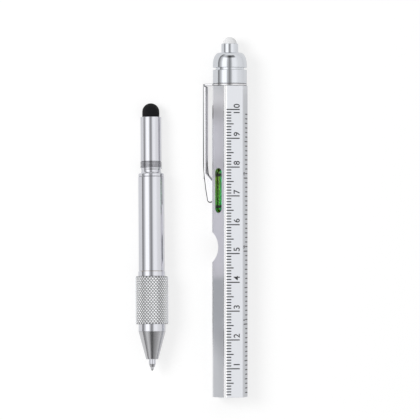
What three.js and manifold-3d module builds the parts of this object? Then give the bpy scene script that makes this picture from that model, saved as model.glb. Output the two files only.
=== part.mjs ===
// Multifunction pen: a hexagonal ruler case with a bubble level, a pocket clip and a
// twist-on LED head, and beside it the insert, with a twist ballpoint at one end and
// a stylus at the other. Both lie on a table along +Y, with +Z up, in millimetres.
// The case is measured from the mouth of its tube, the insert from its ball tip.

import * as THREE from 'three';
import { mergeVertices } from 'three/addons/utils/BufferGeometryUtils.js';
import Module from 'manifold-3d';

const wasm = await Module();
wasm.setup();

// Layout on the table
const axisSpacing = 27.5;
const insertSetback = 9.4;
const caseRoll = THREE.MathUtils.degToRad(5);

// Clearances, each on one side
const pressGap = 0.05;
const runGap = 0.1;
const seatGap = 0.03;
const overrun = 1;
const pointSpacing = 0.005;

// Case tube
const tubeLength = 108.35;
const tubeAcrossFlats = 11.25;
const tubeCornerRadius = 0.45;
const boreDiameter = 9.5;
const mouthChamfer = 0.3;

// Round notch across the clip facet
const notchRadius = 6.6;
const notchDepth = 2.75;
const notchCentre = 52.2;

// Threaded bush that the insert screws into
const bushStart = 36.9;
const bushLength = 3.5;
const bushBore = 7.8;
const bushChamfer = 0.4;

// Level: window in the tube, vial behind it, carrier behind the vial
const windowWidth = 3.2;
const windowLength = 15.6;
const windowFromHead = 36.45;
const vialDiameter = 4.5;
const vialWall = 0.4;
const vialPlugInset = 0.5;
const bubbleDiameter = 1.5;
const bubbleLength = 5.6;
const bubbleTravel = 2.1;
const carrierEndWall = 2.6;

// Pocket clip, bent from one thickness of sheet
const clipSheet = 0.7;
const clipWidth = 3.2;
const clipStandoff = 3.7;
const clipFlangeDepth = 1.1;
const clipRingDiameter = 11.98;
const clipBend = 0.44;
const clipLap = 0.2;
const clipEdgeRound = 0.5;
const clipTipReach = 41.5;
const clipNoseRadius = 1.1;
const clipTaperLength = 15.2;
const clipPadLength = 6.3;
const clipPadRamp = 3;
const clipHingeGap = 0.08;
const clipFlangeRelief = 0.3;

// Top collar, screwed into the tube over the clip's ring
const collarDiameter = 11.9;
const collarLength = 4.8;
const collarEdge = 0.2;
const spigotLength = 8;
const neckDiameter = 9.8;
const neckLength = 3;
const keyWidth = 1;
const keyDepth = 0.35;

// Battery
const cellDiameter = 7.9;
const cellHeight = 3.6;
const cellCount = 3;
const cellPoleDiameter = 6.2;
const cellPoleHeight = 0.35;
const cellPlay = 0.15;
const springDiameter = 6.2;
const springWire = 0.45;
const springLength = 6;
const springTurns = 5;
const sleeveFloor = 1;

// Twist-on LED head
const headGap = 0.7;
const headTravel = 0.6;
const capHeight = 5.3;
const capSkirt = 1.1;
const capCrownRadius = 3.78;
const capBoreDepth = 3;
const capCeiling = 1;
const capCeilingRadius = 3.9;
const bezelDiameter = 5.9;
const bezelHeight = 3.1;
const bezelFlange = 0.55;
const bezelFlangeDepth = 0.5;
const bezelEdge = 0.12;
const sealSection = 0.5;
const sealHeight = 2;
const ledDiameter = 5;
const ledHeight = 8.6;
const ledFlangeDiameter = 5.8;
const ledFlangeHeight = 1;
const ledReach = 2.3;
const holderHeight = 3.4;
const boardThickness = 0.8;
const contactDiameter = 2;
const contactHeight = 1.1;

// Refill and nose
const refillDiameter = 2.35;
const refillLength = 67;
const refillWall = 0.3;
const refillReach = 3.9;
const refillTipLength = 2.2;
const refillTipDiameter = 0.95;
const refillTipSpigot = 2.4;
const ballDiameter = 0.7;
const noseDiameter = 4.2;
const noseLength = 9.7;
const noseSpigot = 7.4;

// Knurled grip with its two collars
const insertCollarDiameter = 9.4;
const lowerCollarLength = 2.5;
const upperCollarLength = 1.7;
const gripDiameter = 11.5;
const gripLength = 16.6;
const gripBore = 7.5;
const gripEdge = 0.35;
const knurlColumns = 32;
const knurlRows = 13;
const knurlDepth = 0.32;

// Barrel, twist mechanism and refill carrier
const barrelDiameter = 9.05;
const barrelBeyondRefill = 0.3;
const barrelWall = 0.7;
const camWall = 0.8;
const guideWall = 0.7;
const guideLength = 14;
const guideFlange = 1.1;
const followerLength = 14;
const followerEnd = 0.6;
const followerPinDiameter = 1.1;
const followerPinRise = 1.4;
const refillTravel = 4.2;
const camTwist = THREE.MathUtils.degToRad(180);

// Stylus end
const couplingSpigot = 2.5;
const rimDiameter = 8.9;
const rimLength = 1.1;
const rimEdge = 0.25;
const reliefDiameter = 7;
const reliefLength = 1.6;
const threadDiameter = 7.6;
const threadLength = 2.6;
const threadDepth = 0.25;
const threadTurns = 3;
const stylusTubeDiameter = 7.3;
const stylusTubeLength = 15.4;
const stylusTubeWall = 0.45;
const stylusTubeLip = 0.8;
const rubberDiameter = 5.95;
const rubberReach = 4.8;
const rubberWall = 1;
const rubberFootLength = 1.6;
const stylusPlugLength = 5;

// Facets of the round surfaces
const roundSegments = 32;
const innerSegments = 16;
const arcSteps = 4;
const domeSteps = 6;
const cornerSteps = 3;
const sealSides = 6;
const springSides = 3;
const springStepsPerTurn = 10;
const ballSegments = 12;
const ballRings = 8;

// Finishes
const finishes = {
  anodised: new THREE.MeshStandardMaterial({ color: 0xc3c7cf, roughness: 0.42, metalness: 0.75 }),
  chrome: new THREE.MeshStandardMaterial({ color: 0xd4d6da, roughness: 0.12, metalness: 1 }),
  satin: new THREE.MeshStandardMaterial({ color: 0x9a9ba0, roughness: 0.35, metalness: 1 }),
  steel: new THREE.MeshStandardMaterial({ color: 0xa8a9ab, roughness: 0.3, metalness: 1 }),
  brass: new THREE.MeshStandardMaterial({ color: 0xb99750, roughness: 0.35, metalness: 1 }),
  rubber: new THREE.MeshStandardMaterial({ color: 0x141414, roughness: 0.75, metalness: 0 }),
  plastic: new THREE.MeshStandardMaterial({ color: 0xe4e4e0, roughness: 0.55, metalness: 0 }),
  board: new THREE.MeshStandardMaterial({ color: 0x2f6b3c, roughness: 0.6, metalness: 0 }),
  acrylic: new THREE.MeshStandardMaterial({ color: 0xdff2df, roughness: 0.05, metalness: 0 }),
  liquid: new THREE.MeshStandardMaterial({ color: 0x4f9a2b, roughness: 0.1, metalness: 0 }),
  bubble: new THREE.MeshStandardMaterial({ color: 0xa6d98a, roughness: 0.05, metalness: 0 }),
  lens: new THREE.MeshStandardMaterial({ color: 0xf2f5f8, roughness: 0.06, metalness: 0 }),
};

// Radii and facets that several pieces share
const boreRadius = boreDiameter / 2;
const facetDistance = tubeAcrossFlats / 2;
const facetTurn = Math.PI / 3;
const vialFacet = -facetTurn;
const clipFacet = -2 * facetTurn;
const spigotRadius = boreRadius - pressGap;
const cellBoreRadius = cellDiameter / 2 + cellPlay;

// Places along the case
const windowCentre = tubeLength - windowFromHead;
const vialLength = windowLength - 2 * pressGap;
const vialRadius = vialDiameter / 2;
const vialBoreRadius = vialRadius - vialWall;
const vialFront = windowCentre - vialLength / 2 + vialRadius;
const vialRear = windowCentre + vialLength / 2 - vialRadius;
const carrierStart = windowCentre - windowLength / 2 - carrierEndWall;
const carrierEnd = windowCentre + windowLength / 2 + carrierEndWall;
const clipRingBottom = tubeLength + seatGap;
const clipRingTop = clipRingBottom + clipSheet;
const collarBottom = clipRingTop + seatGap;
const collarTop = collarBottom + collarLength;
const spigotBottom = tubeLength - spigotLength;
const capBottom = collarTop + headGap;
const capTop = capBottom + capHeight;
const bezelTop = capTop + bezelHeight;
const ledTop = bezelTop + ledReach;
const ledBase = ledTop - ledHeight;
const holderBase = ledBase - seatGap - holderHeight;
const boardBase = holderBase - seatGap - boardThickness;
const contactBase = boardBase - seatGap - contactHeight;
const cellPitch = cellHeight + seatGap;
const stackTop = contactBase - headTravel - seatGap;
const stackBottom = stackTop - cellCount * cellPitch;
const springBase = stackBottom - seatGap - springLength;

// Places along the insert
const coneTop = refillReach + noseLength;
const gripBottom = coneTop + lowerCollarLength;
const gripTop = gripBottom + gripLength;
const upperCollarTop = gripTop + upperCollarLength;
const barrelBottom = upperCollarTop + runGap;
const barrelTop = refillLength + barrelBeyondRefill;
const rimBottom = barrelTop + seatGap;
const rimTop = rimBottom + rimLength;
const threadBottom = rimTop + reliefLength;
const threadTop = threadBottom + threadLength;
const stylusTubeBottom = threadTop + seatGap;
const stylusTubeTop = stylusTubeBottom + stylusTubeLength;
const couplingBottom = rimBottom - couplingSpigot;
const guideTop = couplingBottom - seatGap;
const guideFlangeBottom = guideTop - guideFlange;
const camTop = guideFlangeBottom - runGap;
const camBottom = coneTop + noseSpigot + runGap;

// Radii inside the insert
const barrelBoreRadius = barrelDiameter / 2 - barrelWall;
const gripBoreRadius = gripBore / 2;
const camRadius = gripBoreRadius - pressGap;
const camBoreRadius = camRadius - camWall;
const guideRadius = camBoreRadius - runGap;
const guideBoreRadius = guideRadius - guideWall;
const followerRadius = guideBoreRadius - runGap;
const refillRadius = refillDiameter / 2;
const followerTop = refillLength + seatGap + followerEnd;
const followerBottom = followerTop - followerLength;
const pinRadius = followerPinDiameter / 2;
const pinHeight = followerBottom + followerPinRise;

/** A named mesh of one finish. */
function piece(name, geometry, material) {
  const mesh = new THREE.Mesh(geometry, material);
  mesh.name = name;
  return mesh;
}

/** Revolves [radius, y] corners about +Y. They run from axis to axis, or round a ring. */
function turned(corners, segments = roundSegments) {
  const closed = corners[0][0] > 0 ? [...corners, corners[0]] : corners;
  const points = closed.map(([radius, y]) => new THREE.Vector2(radius, y));
  return new THREE.LatheGeometry(points, segments);
}

/** Points on an ellipse's arc in the [radius, y] plane, both ends included. */
function arc(centreRadius, centreY, reachRadius, reachY, from, to, steps = arcSteps) {
  return Array.from({ length: steps + 1 }, (_, step) => {
    const angle = from + ((to - from) * step) / steps;
    return [centreRadius + reachRadius * Math.cos(angle), centreY + reachY * Math.sin(angle)];
  });
}

/** Extrudes a shape drawn in X and Z along Y, from bottom to top. */
function prism(shape, bottom, top, curveSegments = innerSegments) {
  const geometry = new THREE.ExtrudeGeometry(shape, {
    depth: top - bottom,
    bevelEnabled: false,
    curveSegments,
  });
  geometry.rotateX(Math.PI / 2);
  geometry.translate(0, top, 0);
  return geometry;
}

/** The same shape from plain points, without those that lie on the one before. */
function plainShape(shape) {
  const points = shape.getPoints(arcSteps);
  const last = points.length - 1;
  return new THREE.Shape(points.filter(
    (point, number) => point.distanceTo(points[number === 0 ? last : number - 1]) > pointSpacing));
}

/** Extrudes a shape drawn in Y and Z across X, centred. */
function profilePlate(shape, width) {
  const geometry = new THREE.ExtrudeGeometry(plainShape(shape), {
    depth: width,
    bevelEnabled: false,
  });
  geometry.translate(0, 0, -width / 2);
  const [x, y, z] = [new THREE.Vector3(1, 0, 0), new THREE.Vector3(0, 1, 0), new THREE.Vector3(0, 0, 1)];
  geometry.applyMatrix4(new THREE.Matrix4().makeBasis(y, z, x));
  return geometry;
}

/** A closed three.js geometry as a solid that can be cut and joined. */
function solid(geometry) {
  const bare = geometry.clone();
  bare.deleteAttribute('normal');
  bare.deleteAttribute('uv');
  const merged = mergeVertices(bare);
  const index = merged.getIndex().array;
  const faces = [];
  for (let corner = 0; corner < index.length; corner += 3) {
    const [a, b, c] = index.slice(corner, corner + 3);
    if (a !== b && b !== c && c !== a) {
      faces.push(a, b, c);
    }
  }
  return new wasm.Manifold(new wasm.Mesh({
    numProp: 3,
    vertProperties: merged.getAttribute('position').array,
    triVerts: new Uint32Array(faces),
  }));
}

/** The three.js geometry of a solid. */
function surface(body) {
  const mesh = body.getMesh();
  const geometry = new THREE.BufferGeometry();
  geometry.setAttribute('position', new THREE.BufferAttribute(mesh.vertProperties, 3));
  geometry.setIndex(new THREE.BufferAttribute(mesh.triVerts, 1));
  geometry.computeVertexNormals();
  return geometry;
}

/** Cuts the other geometries out of the first. */
function carve(base, ...cutters) {
  return surface(cutters.reduce((body, cutter) => body.subtract(solid(cutter)), solid(base)));
}

/** What two geometries share. */
function common(base, other) {
  return surface(solid(base).intersect(solid(other)));
}

/** Joins geometries into one solid. */
function weld(base, ...others) {
  return surface(others.reduce((body, other) => body.add(solid(other)), solid(base)));
}

/** A hexagon with a flat facing up, rounded at its corners. */
function hexagon(acrossFlats, cornerRadius) {
  const shape = new THREE.Shape();
  const centreDistance = (acrossFlats / 2 - cornerRadius) / Math.cos(facetTurn / 2);
  for (let corner = 0; corner < 6; corner += 1) {
    const angle = corner * facetTurn;
    const [x, z] = [centreDistance * Math.cos(angle), centreDistance * Math.sin(angle)];
    shape.absarc(x, z, cornerRadius, angle - facetTurn / 2, angle + facetTurn / 2, false);
  }
  shape.closePath();
  return shape;
}

/** A slot with round ends, long in the second direction. */
function slot(width, length, centre) {
  const radius = width / 2;
  const reach = length / 2 - radius;
  const shape = new THREE.Shape();
  shape.absarc(0, centre + reach, radius, 0, Math.PI, false);
  shape.absarc(0, centre - reach, radius, Math.PI, 2 * Math.PI, false);
  shape.closePath();
  return shape;
}

/** A hole through a shape. */
function roundHole(radius) {
  return new THREE.Path().absarc(0, 0, radius, 0, 2 * Math.PI, true);
}

// Case

function hexTube() {
  const section = hexagon(tubeAcrossFlats, tubeCornerRadius);
  const body = new THREE.ExtrudeGeometry(section, {
    depth: tubeLength,
    bevelEnabled: false,
    curveSegments: cornerSteps,
  });
  body.rotateX(Math.PI / 2);
  body.translate(0, tubeLength, 0);
  const bore = new THREE.CylinderGeometry(
    boreRadius, boreRadius, tubeLength + 2 * overrun, roundSegments);
  bore.translate(0, tubeLength / 2, 0);
  const lead = turned([
    [0, -overrun],
    [boreRadius + mouthChamfer + overrun, -overrun],
    [boreRadius, mouthChamfer],
    [0, mouthChamfer],
  ]);
  const notch = new THREE.CylinderGeometry(
    notchRadius, notchRadius, 2 * tubeAcrossFlats, roundSegments);
  notch.rotateZ(Math.PI / 2);
  notch.translate(0, notchCentre, facetDistance + notchRadius - notchDepth);
  notch.rotateY(clipFacet);
  const window = new THREE.ExtrudeGeometry(slot(windowWidth, windowLength, windowCentre), {
    depth: facetDistance,
    bevelEnabled: false,
    curveSegments: domeSteps,
  });
  window.translate(0, 0, boreRadius / 2);
  window.rotateY(vialFacet);
  return piece('hex_tube', carve(body, bore, lead, notch, window), finishes.anodised);
}

function threadBush() {
  const radius = bushBore / 2;
  const end = bushStart + bushLength;
  return piece('thread_bush', turned([
    [radius, bushStart + bushChamfer],
    [radius + bushChamfer, bushStart],
    [spigotRadius, bushStart],
    [spigotRadius, end],
    [radius, end],
  ], innerSegments), finishes.steel);
}

/** How far the vial's axis lies from the tube's, with the vial seated in the window. */
function vialOffset() {
  const half = windowWidth / 2;
  return Math.sqrt(boreRadius ** 2 - half ** 2) - Math.sqrt(vialRadius ** 2 - half ** 2) - pressGap;
}

/** Moves a solid of revolution from the tube's axis to the vial's, behind its facet. */
function behindWindow(geometry) {
  geometry.translate(0, 0, vialOffset());
  geometry.rotateY(vialFacet);
  return geometry;
}

function vialCarrier() {
  const block = new THREE.CylinderGeometry(
    spigotRadius, spigotRadius, carrierEnd - carrierStart, innerSegments);
  block.translate(0, windowCentre, 0);
  const trough = new THREE.CylinderGeometry(
    vialRadius + pressGap, vialRadius + pressGap, vialLength + 2 * pressGap, innerSegments);
  trough.translate(0, windowCentre, 0);
  return piece('vial_carrier', carve(block, behindWindow(trough)), finishes.plastic);
}

function vialTube() {
  const outside = arc(0, vialFront, vialRadius, vialRadius, -Math.PI / 2, 0);
  const inside = arc(0, vialFront, vialBoreRadius, vialBoreRadius, 0, -Math.PI / 2);
  outside[0][0] = 0;
  inside[arcSteps][0] = 0;
  const corners = [...outside, [vialRadius, vialRear], [vialBoreRadius, vialRear], ...inside];
  return piece('vial_tube', behindWindow(turned(corners, innerSegments)), finishes.acrylic);
}

function vialPlug() {
  const dome = arc(0, vialRear + seatGap, vialRadius, vialRadius - seatGap, 0, Math.PI / 2);
  dome[arcSteps][0] = 0;
  const corners = [
    [0, vialRear - vialPlugInset],
    [vialBoreRadius - pressGap, vialRear - vialPlugInset],
    [vialBoreRadius - pressGap, vialRear + seatGap],
    ...dome,
  ];
  return piece('vial_plug', behindWindow(turned(corners, innerSegments)), finishes.acrylic);
}

const liquidRadius = vialBoreRadius - pressGap;
const liquidTop = vialRear - vialPlugInset - pressGap;
const bubbleRadius = bubbleDiameter / 2;
const bubbleRise = liquidRadius - bubbleRadius;

function vialLiquid() {
  const dome = arc(0, vialFront, liquidRadius, liquidRadius, -Math.PI / 2, 0);
  dome[0][0] = 0;
  const body = turned([...dome, [liquidRadius, liquidTop], [0, liquidTop]], innerSegments);
  const channelWidth = bubbleDiameter + 2 * pressGap;
  const channel = new THREE.Shape();
  channel.absarc(0, bubbleRise, channelWidth / 2, Math.PI, 2 * Math.PI, false);
  channel.lineTo(channelWidth / 2, vialDiameter);
  channel.lineTo(-channelWidth / 2, vialDiameter);
  channel.closePath();
  const reach = bubbleLength / 2 + bubbleTravel + pressGap;
  const cutter = prism(channel, windowCentre - reach, windowCentre + reach, arcSteps);
  return piece('vial_liquid', behindWindow(carve(body, cutter)), finishes.liquid);
}

function vialBubble() {
  const bubble = new THREE.CapsuleGeometry(
    bubbleRadius, bubbleLength - bubbleDiameter, arcSteps - 2, 2 * arcSteps);
  bubble.translate(0, windowCentre, bubbleRise);
  return piece('vial_bubble', behindWindow(bubble), finishes.bubble);
}

// Clip. Its outline is drawn in Y and in Z, the distance from the tube's axis.

const clipOuter = facetDistance + clipStandoff;
const clipTabEnd = clipOuter - clipBend - clipLap;

function clipRing() {
  const radius = clipRingDiameter / 2;
  const half = clipWidth / 2;
  const corner = Math.acos(half / radius);
  const shape = new THREE.Shape();
  shape.moveTo(half, clipTabEnd - clipHingeGap);
  shape.lineTo(-half, clipTabEnd - clipHingeGap);
  shape.absarc(0, 0, radius, Math.PI - corner, 2 * Math.PI + corner, false);
  shape.closePath();
  shape.holes.push(roundHole(spigotRadius + pressGap));
  const ring = prism(shape, clipRingBottom, clipRingTop);
  ring.rotateY(clipFacet);
  return piece('clip_ring', ring, finishes.chrome);
}

function clipArm() {
  const noseTip = clipRingTop - clipTipReach;
  const noseCentre = noseTip + clipNoseRadius;
  const padFace = facetDistance + pressGap;
  const noseHeight = padFace + clipNoseRadius;
  const taperEnd = noseHeight + clipNoseRadius;
  const taperStart = noseCentre + clipTaperLength;
  const flangeEdge = clipOuter - clipFlangeDepth;
  const padEnd = noseCentre + clipPadLength;
  const flangeTop = clipRingBottom - clipFlangeRelief;

  const outline = new THREE.Shape();
  outline.moveTo(clipRingTop, clipTabEnd);
  outline.absarc(clipRingTop - clipBend, clipTabEnd + clipLap, clipBend, 0, Math.PI / 2, false);
  outline.lineTo(taperStart, clipOuter);
  outline.quadraticCurveTo(
    taperStart - clipTaperLength / 2, clipOuter, noseCentre, taperEnd);
  outline.absarc(noseCentre, noseHeight, clipNoseRadius, Math.PI / 2, 1.5 * Math.PI, false);
  outline.lineTo(padEnd, padFace);
  outline.lineTo(padEnd + clipPadRamp, flangeEdge);
  outline.lineTo(flangeTop, flangeEdge);
  outline.lineTo(flangeTop, clipTabEnd);
  outline.closePath();

  const inside = new THREE.Shape();
  inside.moveTo(clipRingTop + overrun, 0);
  inside.lineTo(clipRingTop + overrun, clipOuter - clipSheet);
  inside.lineTo(taperStart, clipOuter - clipSheet);
  inside.quadraticCurveTo(
    taperStart - clipTaperLength / 2, clipOuter - clipSheet,
    noseCentre, taperEnd - clipSheet);
  inside.absarc(noseCentre, noseHeight, clipNoseRadius - clipSheet, Math.PI / 2, Math.PI, false);
  inside.lineTo(noseCentre - clipNoseRadius + clipSheet, 0);
  inside.closePath();

  const half = clipWidth / 2;
  const section = new THREE.Shape();
  section.moveTo(-half, 0);
  section.lineTo(half, 0);
  section.absarc(half - clipEdgeRound, clipOuter - clipEdgeRound, clipEdgeRound, 0, Math.PI / 2, false);
  section.absarc(
    clipEdgeRound - half, clipOuter - clipEdgeRound, clipEdgeRound, Math.PI / 2, Math.PI, false);
  section.closePath();
  const rounded = prism(section, noseTip - overrun, clipRingTop + overrun, arcSteps / 2);

  const arm = carve(
    common(profilePlate(outline, clipWidth), rounded),
    profilePlate(inside, clipWidth - 2 * clipSheet));
  arm.rotateY(clipFacet);
  return piece('clip_arm', arm, finishes.chrome);
}

// Battery and head

function batterySleeve() {
  const top = spigotBottom - seatGap;
  const bottom = carrierEnd + seatGap;
  const floorTop = springBase - seatGap;
  return piece('battery_sleeve', turned([
    [0, floorTop - sleeveFloor],
    [cellBoreRadius, floorTop - sleeveFloor],
    [cellBoreRadius, bottom],
    [spigotRadius, bottom],
    [spigotRadius, top],
    [cellBoreRadius, top],
    [cellBoreRadius, floorTop],
    [0, floorTop],
  ], innerSegments), finishes.plastic);
}

/** A coil spring's centre line, standing on +Y. */
class Coil extends THREE.Curve {
  getPoint(share, target = new THREE.Vector3()) {
    const radius = (springDiameter - springWire) / 2;
    const angle = 2 * Math.PI * springTurns * share;
    const height = springBase + springWire / 2 + share * (springLength - springWire);
    return target.set(radius * Math.sin(angle), height, radius * Math.cos(angle));
  }
}

function batterySpring() {
  const section = new THREE.Shape().absarc(0, 0, springWire / 2, 0, 2 * Math.PI, false);
  const spring = new THREE.ExtrudeGeometry(section, {
    extrudePath: new Coil(),
    steps: springTurns * springStepsPerTurn,
    curveSegments: springSides,
    bevelEnabled: false,
  });
  return piece('battery_spring', spring, finishes.steel);
}

function batteryCell(number) {
  const bottom = stackBottom + (number - 1) * cellPitch;
  const shoulder = bottom + cellHeight - cellPoleHeight;
  return piece(`battery_cell_${number}`, turned([
    [0, bottom],
    [cellDiameter / 2, bottom],
    [cellDiameter / 2, shoulder],
    [cellPoleDiameter / 2, shoulder],
    [cellPoleDiameter / 2, bottom + cellHeight],
    [0, bottom + cellHeight],
  ], innerSegments), finishes.steel);
}

/** The groove that holds the head's seal, measured on the collar's neck. */
const sealCentre = capBottom + sealHeight;
const sealRadius = neckDiameter / 2 + runGap - seatGap - sealSection / 2;

function keyway(gap, bottom, top) {
  const key = new THREE.BoxGeometry(keyWidth + 2 * gap, top - bottom, 2 * (keyDepth + gap));
  key.translate(0, (bottom + top) / 2, cellBoreRadius - runGap);
  return key;
}

function topCollar() {
  const radius = collarDiameter / 2;
  const neck = neckDiameter / 2;
  const grooveRadius = sealRadius - sealSection / 2 - seatGap;
  const grooveHalf = sealSection / 2 + seatGap;
  const neckTop = collarTop + neckLength;
  const body = turned([
    [cellBoreRadius, spigotBottom],
    [spigotRadius, spigotBottom],
    [spigotRadius, collarBottom],
    [radius - collarEdge, collarBottom],
    [radius, collarBottom + collarEdge],
    [radius, collarTop - collarEdge],
    [radius - collarEdge, collarTop],
    [neck, collarTop],
    [neck, sealCentre - grooveHalf],
    [grooveRadius, sealCentre - grooveHalf],
    [grooveRadius, sealCentre + grooveHalf],
    [neck, sealCentre + grooveHalf],
    [neck, neckTop],
    [cellBoreRadius, neckTop],
  ]);
  return piece('top_collar', carve(body, keyway(runGap, stackTop, neckTop + overrun)), finishes.chrome);
}

function headSeal() {
  const half = sealSection / 2;
  const section = arc(sealRadius, sealCentre, half, half, 0, 2 * Math.PI, sealSides);
  return piece('head_seal', turned(section.slice(0, sealSides)), finishes.rubber);
}

function domeCap() {
  const radius = collarDiameter / 2;
  const bore = neckDiameter / 2 + runGap;
  const hole = bezelDiameter / 2 + pressGap;
  const shoulder = capBottom + capSkirt;
  const ceiling = capTop - capCeiling;
  return piece('dome_cap', turned([
    [bore, capBottom],
    [radius - collarEdge, capBottom],
    [radius, capBottom + collarEdge],
    ...arc(
      capCrownRadius, shoulder, radius - capCrownRadius, capTop - shoulder, 0, Math.PI / 2, domeSteps),
    [hole, capTop],
    [hole, ceiling],
    [capCeilingRadius, ceiling],
    [bore, capBottom + capBoreDepth],
  ]), finishes.chrome);
}

function ledBezel() {
  const bore = ledDiameter / 2 + runGap;
  const radius = bezelDiameter / 2;
  const flangeTop = capTop - capCeiling - seatGap;
  const flangeBottom = flangeTop - bezelFlangeDepth;
  return piece('led_bezel', turned([
    [bore, flangeBottom],
    [radius + bezelFlange, flangeBottom],
    [radius + bezelFlange, flangeTop],
    [radius, flangeTop],
    [radius, bezelTop - bezelEdge],
    [radius - bezelEdge, bezelTop],
    [bore, bezelTop],
  ]), finishes.chrome);
}

function ledBulb() {
  const radius = ledDiameter / 2;
  const dome = arc(0, ledTop - radius, radius, radius, 0, Math.PI / 2, domeSteps);
  dome[domeSteps][0] = 0;
  return piece('led_bulb', turned([
    [0, ledBase],
    [ledFlangeDiameter / 2, ledBase],
    [ledFlangeDiameter / 2, ledBase + ledFlangeHeight],
    [radius, ledBase + ledFlangeHeight],
    ...dome,
  ]), finishes.lens);
}

function ledHolder() {
  const body = new THREE.CylinderGeometry(
    cellBoreRadius - runGap, cellBoreRadius - runGap, holderHeight, innerSegments);
  body.translate(0, holderBase + holderHeight / 2, 0);
  const key = keyway(0, holderBase, holderBase + holderHeight);
  return piece('led_holder', weld(body, key), finishes.plastic);
}

function ledBoard() {
  const board = new THREE.CylinderGeometry(
    cellBoreRadius - runGap, cellBoreRadius - runGap, boardThickness, innerSegments);
  board.translate(0, boardBase + boardThickness / 2, 0);
  return piece('led_board', board, finishes.board);
}

function ledContact() {
  const radius = contactDiameter / 2;
  return piece('led_contact', turned([
    [0, contactBase],
    [radius / 2, contactBase],
    [radius, contactBase + radius / 2],
    [radius, contactBase + contactHeight],
    [0, contactBase + contactHeight],
  ], innerSegments), finishes.brass);
}

// Insert: refill, nose and grip

function refillBall() {
  const ball = new THREE.SphereGeometry(ballDiameter / 2, ballSegments, ballRings);
  ball.translate(0, ballDiameter / 2, 0);
  return piece('refill_ball', ball, finishes.steel);
}

function refillTip() {
  const seat = ballDiameter / 2 + seatGap;
  const lip = ballDiameter / 2;
  const spigot = refillRadius - refillWall - seatGap;
  return piece('refill_tip', turned([
    [0, ballDiameter + seatGap],
    [seat, ballDiameter + seatGap],
    [seat, lip],
    [refillTipDiameter / 2, lip],
    [refillRadius, refillTipLength],
    [spigot, refillTipLength + seatGap],
    [spigot, refillTipLength + refillTipSpigot],
    [0, refillTipLength + refillTipSpigot],
  ], innerSegments), finishes.brass);
}

function refillTube() {
  const bore = refillRadius - refillWall;
  const bottom = refillTipLength + 2 * seatGap;
  return piece('refill_tube', turned([
    [bore, bottom],
    [refillRadius, bottom],
    [refillRadius, refillLength],
    [bore, refillLength],
  ], innerSegments), finishes.steel);
}

function noseCone() {
  const bore = refillRadius + runGap;
  const spigot = gripBoreRadius - pressGap;
  return piece('nose_cone', turned([
    [bore, refillReach],
    [noseDiameter / 2, refillReach],
    [insertCollarDiameter / 2, coneTop - seatGap],
    [spigot, coneTop - seatGap],
    [spigot, coneTop + noseSpigot],
    [bore, coneTop + noseSpigot],
  ]), finishes.satin);
}

/** The grip is one ring of columns. On the knurl, peaks and valleys alternate. */
function knurledGrip() {
  const collar = insertCollarDiameter / 2;
  const peak = gripDiameter / 2;
  const knurlBottom = gripBottom + gripEdge;
  const knurlLength = gripLength - 2 * gripEdge;
  const halfRows = 2 * knurlRows;
  const outline = [
    [gripBoreRadius, coneTop],
    [collar, coneTop],
    [collar, gripBottom],
    [peak - gripEdge, gripBottom],
  ];
  const firstRow = outline.length;
  for (let row = 0; row <= halfRows; row += 1) {
    outline.push([peak, knurlBottom + (knurlLength * row) / halfRows]);
  }
  outline.push(
    [peak - gripEdge, gripTop],
    [collar, gripTop],
    [collar, upperCollarTop],
    [gripBoreRadius, upperCollarTop],
  );
  const columns = 2 * knurlColumns;
  const isValley = (column, row) => (
    row >= firstRow && row <= firstRow + halfRows && (column + row) % 2 === 1);

  const positions = [];
  for (let column = 0; column < columns; column += 1) {
    const angle = (2 * Math.PI * column) / columns;
    outline.forEach(([radius, y], row) => {
      const reach = isValley(column, row) ? radius - knurlDepth : radius;
      positions.push(reach * Math.sin(angle), y, reach * Math.cos(angle));
    });
  }
  const index = [];
  for (let column = 0; column < columns; column += 1) {
    const next = (column + 1) % columns;
    for (let row = 0; row < outline.length; row += 1) {
      const above = (row + 1) % outline.length;
      const a = column * outline.length + row;
      const b = next * outline.length + row;
      const c = next * outline.length + above;
      const d = column * outline.length + above;
      if (isValley(column, row) || isValley(next, above)) {
        index.push(a, b, c, a, c, d);
      } else {
        index.push(a, b, d, b, c, d);
      }
    }
  }
  const geometry = new THREE.BufferGeometry();
  geometry.setAttribute('position', new THREE.Float32BufferAttribute(positions, 3));
  geometry.setIndex(index);
  geometry.computeVertexNormals();
  return piece('knurled_grip', geometry, finishes.chrome);
}

// Insert: barrel and twist mechanism

function insertBarrel() {
  return piece('insert_barrel', turned([
    [barrelBoreRadius, barrelBottom],
    [barrelDiameter / 2, barrelBottom],
    [barrelDiameter / 2, barrelTop],
    [barrelBoreRadius, barrelTop],
  ]), finishes.chrome);
}

/** The space that the follower's pin needs in the turning sleeve, along a helix. */
function helicalSlot() {
  const inner = camBoreRadius - runGap;
  const outer = camRadius + overrun;
  const climb = refillTravel / camTwist;
  const reach = (pinRadius + runGap) / Math.cos(Math.atan(climb / camBoreRadius));
  const margin = (pinRadius + runGap) / camBoreRadius;
  const steps = 2 * arcSteps;
  const positions = [];
  for (let step = 0; step <= steps; step += 1) {
    const twist = -margin + ((camTwist + 2 * margin) * step) / steps;
    const y = pinHeight + climb * twist;
    for (const [radius, height] of [
      [inner, y - reach], [outer, y - reach], [outer, y + reach], [inner, y + reach]]) {
      positions.push(radius * Math.sin(-twist), height, radius * Math.cos(-twist));
    }
  }
  const index = [0, 2, 1, 0, 3, 2];
  for (let step = 0; step < steps; step += 1) {
    for (let side = 0; side < 4; side += 1) {
      const a = step * 4 + side;
      const b = step * 4 + ((side + 1) % 4);
      index.push(a, b + 4, a + 4, a, b, b + 4);
    }
  }
  const last = steps * 4;
  index.push(last, last + 1, last + 2, last, last + 2, last + 3);
  const geometry = new THREE.BufferGeometry();
  geometry.setAttribute('position', new THREE.Float32BufferAttribute(positions, 3));
  geometry.setIndex(index);
  return geometry;
}

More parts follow.
